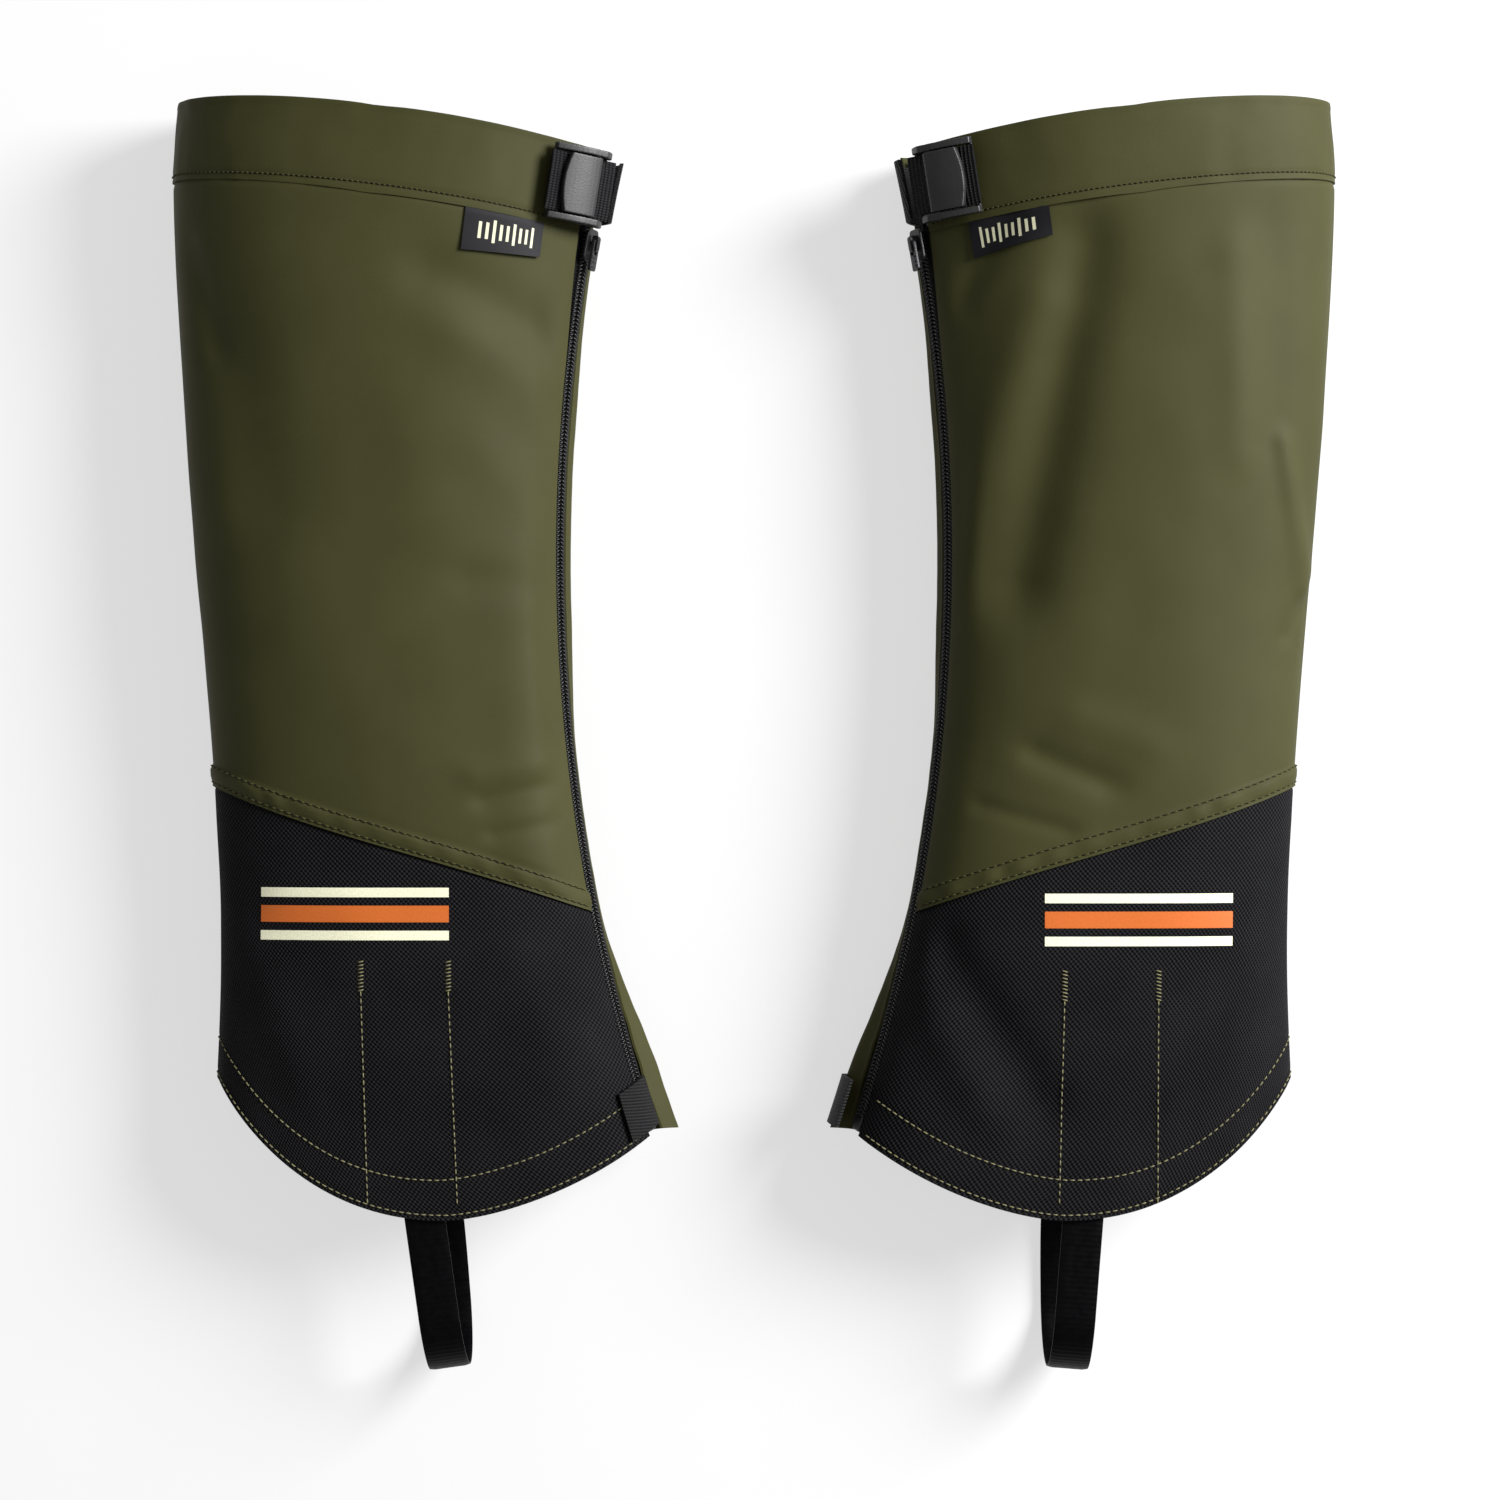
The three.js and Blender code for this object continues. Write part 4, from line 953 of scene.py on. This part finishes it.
def band(name, side, path, sideways, width, thickness, look, columns=6, shear=None):
    """A flat strap along a path of points, sideways being the direction across it."""
    steps = len(path) - 1

    def place(i, j, face):
        along = (path[min(steps, j + 1)] - path[max(0, j - 1)]).normalized()
        out = sideways.cross(along).normalized()
        across_by = mix(-width / 2, width / 2, i / columns)
        edge = 0.45 if i in (0, columns) else 1.0
        lift = edge * thickness / 2 * (1 if face else -1)
        return path[j] + sideways * (across_by + (shear(j / steps) if shear else 0)) + out * lift

    return slab(name, side, columns, steps, place, look, lengthwise=True)


def rounded(side, node, body, slot, look, voxel):
    """A CAD moulding with its corners rounded as a mould leaves them."""
    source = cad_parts[f"{side}_{node}"]
    copy = source.copy()
    copy.data = source.data.copy()
    bpy.context.scene.collection.objects.link(copy)
    remesh = copy.modifiers.new("round", "REMESH")
    remesh.mode = "VOXEL"
    remesh.voxel_size = voxel * MM
    soften = copy.modifiers.new("soften", "SMOOTH")
    soften.factor = 0.5
    soften.iterations = 4
    depsgraph = bpy.context.evaluated_depsgraph_get()
    mesh = bpy.data.meshes.new_from_object(copy.evaluated_get(depsgraph))
    bpy.data.objects.remove(copy)
    mesh.transform(source.matrix_world)
    mesh.materials.clear()
    mesh.materials.append(look)
    for polygon in mesh.polygons:
        polygon.use_smooth = True
    settle(add_object(f"{side}_{node}_moulding", mesh), side, body, slot, node)


def make_buckle(side):
    rounded(side, "buckle_frame", "shell", "moulded_plastic", PLASTIC, 0.3)
    rounded(side, "buckle_lever", "cam_lever", "moulded_plastic", LEVER, 0.3)
    place = buckle_frame(side)
    middle = TAIL_LOW + WEBBING_THICKNESS / 2
    sideways = place.to_3x3() @ Vector((0, 1, 0))

    def straight(x0, x1, z, steps):
        return [place @ Vector((mix(x0, x1, k / steps), 0, z)) for k in range(steps + 1)]

    tail = straight(-BUCKLE_END - TAIL_OUT[side], BUCKLE_END + TAIL_IN, middle, 40)
    piece = band("strap_tail_webbing", side, tail, sideways, WEBBING, WEBBING_THICKNESS, ELASTIC)
    settle(piece, side, "strap_tail", "webbing", "cuff_strap_tail")
    anchor = straight(-BUCKLE_END + 2, PIVOT_U, GAP + WEBBING_THICKNESS / 2, 20)
    piece = band("anchor_webbing", side, anchor, sideways, WEBBING - 1, WEBBING_THICKNESS, ELASTIC)
    settle(piece, side, "shell", "webbing", "buckle_anchor")


# ---- Instep strap


def top_height(x, y):
    return station(station_at(x, y), y)[1]


def strap_cover(side, y):
    """The lowest that the shell's outer face comes over the strap's width at y."""
    heights = []
    for k in (-1, 0, 1):
        q = station_at(STRAP_X + k * STRAP_WIDTH / 2, y)
        heights.append(station(q, y)[1] + min(0, shell_depth(side, q, y)))
    return min(heights)


def strap_height(side, y):
    return strap_cover(side, y) - CLOTH - STRAP_TUCK - STRAP_THICKNESS / 2


STRAP_TOP = min(top_height(STRAP_X + k * STRAP_WIDTH / 2, HINGE_Y) for k in (-1, 1)) - CLOTH - STRAP_TUCK
STRAP_TOP -= STRAP_THICKNESS / 2
STRAP_UNDER = CLOTH + STRAP_TUCK + STRAP_THICKNESS / 2


def make_instep_loop(side):
    """The loop under the boot: it lies a little askew, so that its lower run shows past the upper one."""
    radius = (STRAP_TOP - STRAP_UNDER) / 2
    bend_y = STRAP_LOW_Y - HINGE_Y + radius + STRAP_THICKNESS / 2
    middle = (STRAP_TOP + STRAP_UNDER) / 2
    start = STRAP_WIDTH / 2 + STRAP_LAP
    run = 24
    ys = [mix(start, bend_y, k / run) for k in range(run)]

    def lap(y):
        """Near the hem the loop lies against the sewn ends' inner faces."""
        return (STRAP_THICKNESS + 0.3) * smooth((y - start + STRAP_LAP + 8) / 8)

    path = [Vector((0, y, STRAP_TOP - lap(y))) for y in ys]
    for k in range(37):
        angle = math.pi / 2 + math.pi * k / 36
        flatten = 1 + 0.06 * math.sin(math.pi * k / 36)
        rise = radius * math.sin(angle) / flatten
        path.append(Vector((0, bend_y + radius * math.cos(angle), middle + rise)))
    path += [Vector((0, y, STRAP_UNDER + lap(y))) for y in ys[::-1]]
    turn = Matrix.Translation((STRAP_X, HINGE_Y, 0)) @ Matrix.Rotation(STRAP_SWING[side], 4, "Z")
    askew = STRAP_ASKEW[side]

    def shear(t):
        return -askew * smooth((t - 0.45) / 0.55)

    path = [turn @ p for p in path]
    sideways = turn.to_3x3() @ Vector((-1, 0, 0))
    loop = band("instep_webbing", side, path, sideways, STRAP_WIDTH, STRAP_THICKNESS, COATED, 8, shear)
    settle(loop, side, "instep_loop", "coated_strap", "instep_strap")


def make_strap_ends(side):
    end = ADJUSTER_LENGTH / 2
    knots = [
        (ENDS_Y, 0),
        (ADJUSTER_Y - end + 2.2, 0),
        (ADJUSTER_Y - 2.4, ADJUSTER_DIP),
        (ADJUSTER_Y + 2.4, ADJUSTER_DIP),
        (ADJUSTER_Y + end - 2.2, 0),
        (ADJUSTER_Y + end + 14, 0),
    ]
    path = []
    for (y0, d0), (y1, d1) in zip(knots, knots[1:]):
        for k in range(8):
            y = mix(y0, y1, k / 8)
            path.append(Vector((STRAP_X, y, strap_height(side, y) - mix(d0, d1, k / 8))))
    sideways = Vector((-1, 0, 0))
    upper = band("strap_end_outer_webbing", side, path[::-1], sideways, STRAP_WIDTH, STRAP_THICKNESS, COATED)
    settle(upper, side, "shell", "coated_strap", "strap_end_outer")
    path = [Vector((STRAP_X, mix(ENDS_Y, SLEEVE_TOP, k / 20), STRAP_UNDER)) for k in range(21)]
    lower = band("strap_end_inner_webbing", side, path[::-1], sideways, STRAP_WIDTH, STRAP_THICKNESS, COATED)
    settle(lower, side, "shell", "coated_strap", "strap_end_inner")


def make_sleeves(side):
    half = STRAP_WIDTH / 2 + SLEEVE_MARGIN
    inner = CLOTH + 2 * STRAP_TUCK + STRAP_THICKNESS

    def over(i, j, face):
        x, y = STRAP_X + mix(half, -half, i / 10), mix(ENDS_Y, SLEEVE_TOP, j / 30)
        drop = strap_cover(side, y) - top_height(STRAP_X, y)
        return Vector((x, y, top_height(x, y) + min(0, drop) - inner - (0 if face else THIN_CLOTH)))

    def under(i, j, face):
        x, y = STRAP_X + mix(-half, half, i / 10), mix(ENDS_Y, SLEEVE_TOP, j / 30)
        return Vector((x, y, inner + (0 if face else THIN_CLOTH)))

    for name, place in (("outer", over), ("inner", under)):
        sleeve = slab(f"sleeve_cloth_{name}", side, 10, 30, place, LINING)
        settle(sleeve, side, "shell", "lining_cloth", f"strap_sleeve_{name}")


# ---- Small pieces


def make_label(side):
    """A woven label that hangs from under the cuff's lower edge, with a plain pattern of upright bars."""
    columns, rows = 24, 12
    front_drop, back_drop = LABEL_DROPS[side]
    first, last = LABEL_SPAN[side]

    def label_point(t, fall, depth):
        q = mix(first, last, t)
        y = cuff_seam(across(q)) - 2 * GAP - fall * mix(front_drop, back_drop, t)
        curl = 0.9 * fall**2 + 0.35 * math.sin(5 * t) * fall
        return skin(q, y, shell_depth(side, q, y) + depth + curl)

    def place(i, j, face):
        return label_point(i / columns, 1 - j / rows, LABEL_FACES[face])

    label = slab("woven_label", side, columns, rows, place, LABEL)
    settle(label, side, "shell", "webbing", "label_tab")
    points, faces = [], []
    for t0, t1, top, bottom in label_bars():
        start = len(points)
        for fall in (bottom, top):
            for k in range(3):
                points.append(label_point(mix(t0, t1, k / 2), fall, LABEL_PRINT))
        for k in range(2):
            faces.append((start + k, start + 3 + k, start + 4 + k, start + 1 + k))
    bars = make_piece("label_pattern", side, points, faces, CREAM_WEAVE, [(p.x, p.y) for p in points])
    settle(bars, side, "shell", "webbing")


def label_bars():
    """Upright bars along the label, as (start, end, top, bottom) shares of its width and height."""
    for k in range(9):
        tall = 0.3 if k % 3 else 0.22
        yield 0.14 + 0.083 * k, 0.14 + 0.083 * k + 0.036, tall, 1.0 - tall


def make_bottom_tab(side):
    first, last = TAB_SPAN[side]
    inner = (COIL_HIGH if side == "right" else PLACKET_FLARE_HEM) + GAP
    tab = cloth(
        "bottom_tab_webbing", side, RIBBON, 2 + first, 2 + last, raised(hem, 3), raised(hem, 3 + TAB_WIDTH),
        30, 16, inner, inner + TAB_THICKNESS,
    )
    settle(tab, side, "shell", "webbing", "bottom_tab")


def make_emblem(side):
    """Three plain stripes, in place of the mark on the real one."""
    columns, rows = 54, 6
    front_edge, top = EMBLEM_AT[side]
    for number, (look, low, high) in enumerate(EMBLEM_STRIPES):

        def place(i, j, face):
            x = front_edge - EMBLEM_WIDTH * (1 - (columns - i) / columns)
            y = top + mix(low, high, j / rows)
            q = station_at(x, y)
            return skin(q, y, shell_depth(side, q, y) + FILM[face])

        stripe = slab(f"emblem_stripe_{number}", side, columns, rows, place, look)
        settle(stripe, side, "shell", "reinforcement_cloth")


# ---- Stitching


def sew(place, stitch, samples=500):
    """Stitches along a seam, and between them the needle holes as dark dashes of painted shade. place(t,
    lift) is a point t of the way along it, lifted off the cloth."""
    line = [place(k / samples, 0) for k in range(samples + 1)]
    run = [0.0]
    for a, b in zip(line, line[1:]):
        run.append(run[-1] + (b - a).length)
    thread_length, space = stitch
    count = int(run[-1] / (thread_length + space))

    def at(distance, lift):
        k = min(samples - 1, max(0, bisect.bisect_right(run, distance) - 1))
        return place(min(1.0, (k + (distance - run[k]) / max(1e-6, run[k + 1] - run[k])) / samples), lift)

    stitches, holes = [], []
    for number in range(count):
        start = (number + STITCH_START) * run[-1] / count
        stitches.append([at(start + share * thread_length, lift) for share, lift in STITCH_ARCH])
        end = start + thread_length
        # Each needle hole is a dark dash of painted shade over the space to the next stitch.
        holes.append([at(end + share * space, NEEDLE_HOLE_LIFT) for share in HOLE_ENDS])
    return stitches, holes


def skin_row(side, q0, q1, edge, by, depth, stitch):
    """A row of stitches at a height above an edge, from station q0 to q1."""

    def place(t, lift):
        q = mix(q0, q1, t)
        y = edge(across(q)) + by
        point = skin(q, y, depth(side, q, y) + lift)
        point.z = max(point.z, NEEDLE_HOLE)
        return point

    return sew(place, stitch)


def upright_row(side, line):
    """A row of stitches up a channel's line."""

    def place(t, lift):
        y = mix(CHANNEL_TOP[side], CHANNEL_BOTTOM, t)
        q = station_at(channel_x(line, side, y), y)
        return skin(q, y, shell_depth(side, q, y) + lift)

    return sew(place, HEM_STITCH)


def bar_tack(side, x, y0, y1):
    """A dense zigzag that ends a channel's row."""
    paths = []
    count = int((y1 - y0) / TACK_PITCH)
    for k in range(count):
        y = mix(y0, y1, k / count)
        ends = []
        for share, lift in TACK_ARCH:
            q = station_at(x + share * TACK_HALF, y + share * TACK_SLANT)
            ends.append(skin(q, y + share * TACK_SLANT, shell_depth(side, q, y) + lift))
        paths.append(ends)
    return paths


def flat_depth(side, q, y):
    return 0.0


def make_stitching(side):
    front, back = OUTER_FRONT + 0.01, 0.992
    under, end = 1.008, PLACKET_LOW - 0.01
    olive = [
        skin_row(side, front + OUTER_FRONT_OPEN, back, cuff_seam, CUFF_ROW, cuff_relief, CUFF_STITCH),
        skin_row(side, under, CUFF_END - 0.01, cuff_seam, CUFF_ROW, cuff_relief, CUFF_STITCH),
    ]
    khaki = []
    for row in SEAM_ROWS:
        olive.append(skin_row(side, front, back, boot_seam, row, shell_depth, SEAM_STITCH))
        olive.append(skin_row(side, under, end, boot_seam, row, flat_depth, SEAM_STITCH))
    for row in HEM_ROWS:
        khaki.append(skin_row(side, front + 0.02, back, hem, row, shell_depth, HEM_STITCH))
        khaki.append(skin_row(side, under, end, hem, row, flat_depth, HEM_STITCH))
    tacks = []
    for line in channel_lines(side):
        top = CHANNEL_TOP[side]
        khaki.append(upright_row(side, line))
        tacks += bar_tack(side, channel_x(line, side, top), top, top + TACK)
    olive_paths = [path for stitches, _ in olive for path in stitches]
    hole_shade_paths = [path for _, holes in olive for path in holes]
    khaki_paths = [path for stitches, _ in khaki for path in stitches] + tacks
    for name, paths, radius, look in (
        ("olive_stitching", olive_paths, THREAD, OLIVE_THREAD),
        ("needle_hole_shading", hole_shade_paths, NEEDLE_HOLE, HOLE_SHADE),
        ("khaki_stitching", khaki_paths, THREAD, PALE_THREAD),
    ):
        piece = make_piece(name, side, *tube_mesh(paths, radius), look)
        settle(piece, side, "shell", "shell_cloth")


# ---- CAD pieces that keep their own shape


def finish_fittings(side):
    for node, body, slot, look, voxel in (
        ("zip_slider", "zip_slider", "metal_fittings", METAL, 0.2),
        ("zip_pull", "zip_pull", "metal_fittings", METAL, 0.2),
        ("strap_adjuster", "shell", "moulded_plastic", PLASTIC, 0.3),
        ("lace_hook", "shell", "metal_fittings", METAL, 0.2),
        ("zip_end_box", "shell", "moulded_plastic", PLASTIC, 0.25),
    ):
        rounded(side, node, body, slot, look, voxel)


# ---- Stage


def make_floor():
    mesh = bpy.data.meshes.new("floor")
    half = 6.0
    corners = [(-half, -half, 0), (half, -half, 0), (half, half, 0), (-half, half, 0)]
    mesh.from_pydata(corners, [], [(0, 1, 2, 3)])
    floor = add_object("floor", mesh)
    floor.location.z = -0.0002
    material, shader = new_material("floor_paper", (0.24, 0.24, 0.24), 0.9, specular=0.1)
    shader.inputs["Emission Color"].default_value = (1, 1, 1, 1)
    shader.inputs["Emission Strength"].default_value = 0.62
    mesh.materials.append(material)


def make_lights():
    """A white world, and one broad light from the right, past the cuffs, aimed at the middle of the pair."""
    world = bpy.data.worlds.new("studio")
    world.use_nodes = True
    background = world.node_tree.nodes["Background"]
    background.inputs["Color"].default_value = (1, 1, 1, 1)
    background.inputs["Strength"].default_value = 0.40
    bpy.context.scene.world = world
    data = bpy.data.lights.new("key", "AREA")
    data.shape = "DISK"
    data.size = 1.2
    data.energy = 166
    lamp = add_object("key", data)
    lamp.location = (1.9, 0.9, 1.3)
    lamp.rotation_mode = "QUATERNION"
    lamp.rotation_quaternion = (-lamp.location).to_track_quat("-Z", "Y")
    bpy.context.scene.view_settings.view_transform = "Standard"


def make_camera():
    """Straight down on the pair, from 1.8 m above the floor."""
    data = bpy.data.cameras.new("camera")
    data.lens = 100
    data.sensor_width = 36
    camera = add_object("camera", data)
    camera.location = (-0.0017, -0.0055, 1.797)
    bpy.context.scene.camera = camera


make_floor()
make_lights()
make_camera()
for side in SIDES:
    make_shell(side)
    make_placket(side)
    make_zip(side)
    make_cuff(side)
    make_buckle(side)
    make_instep_loop(side)
    make_strap_ends(side)
    make_sleeves(side)
    make_label(side)
    make_bottom_tab(side)
    make_emblem(side)
    make_stitching(side)
    finish_fittings(side)
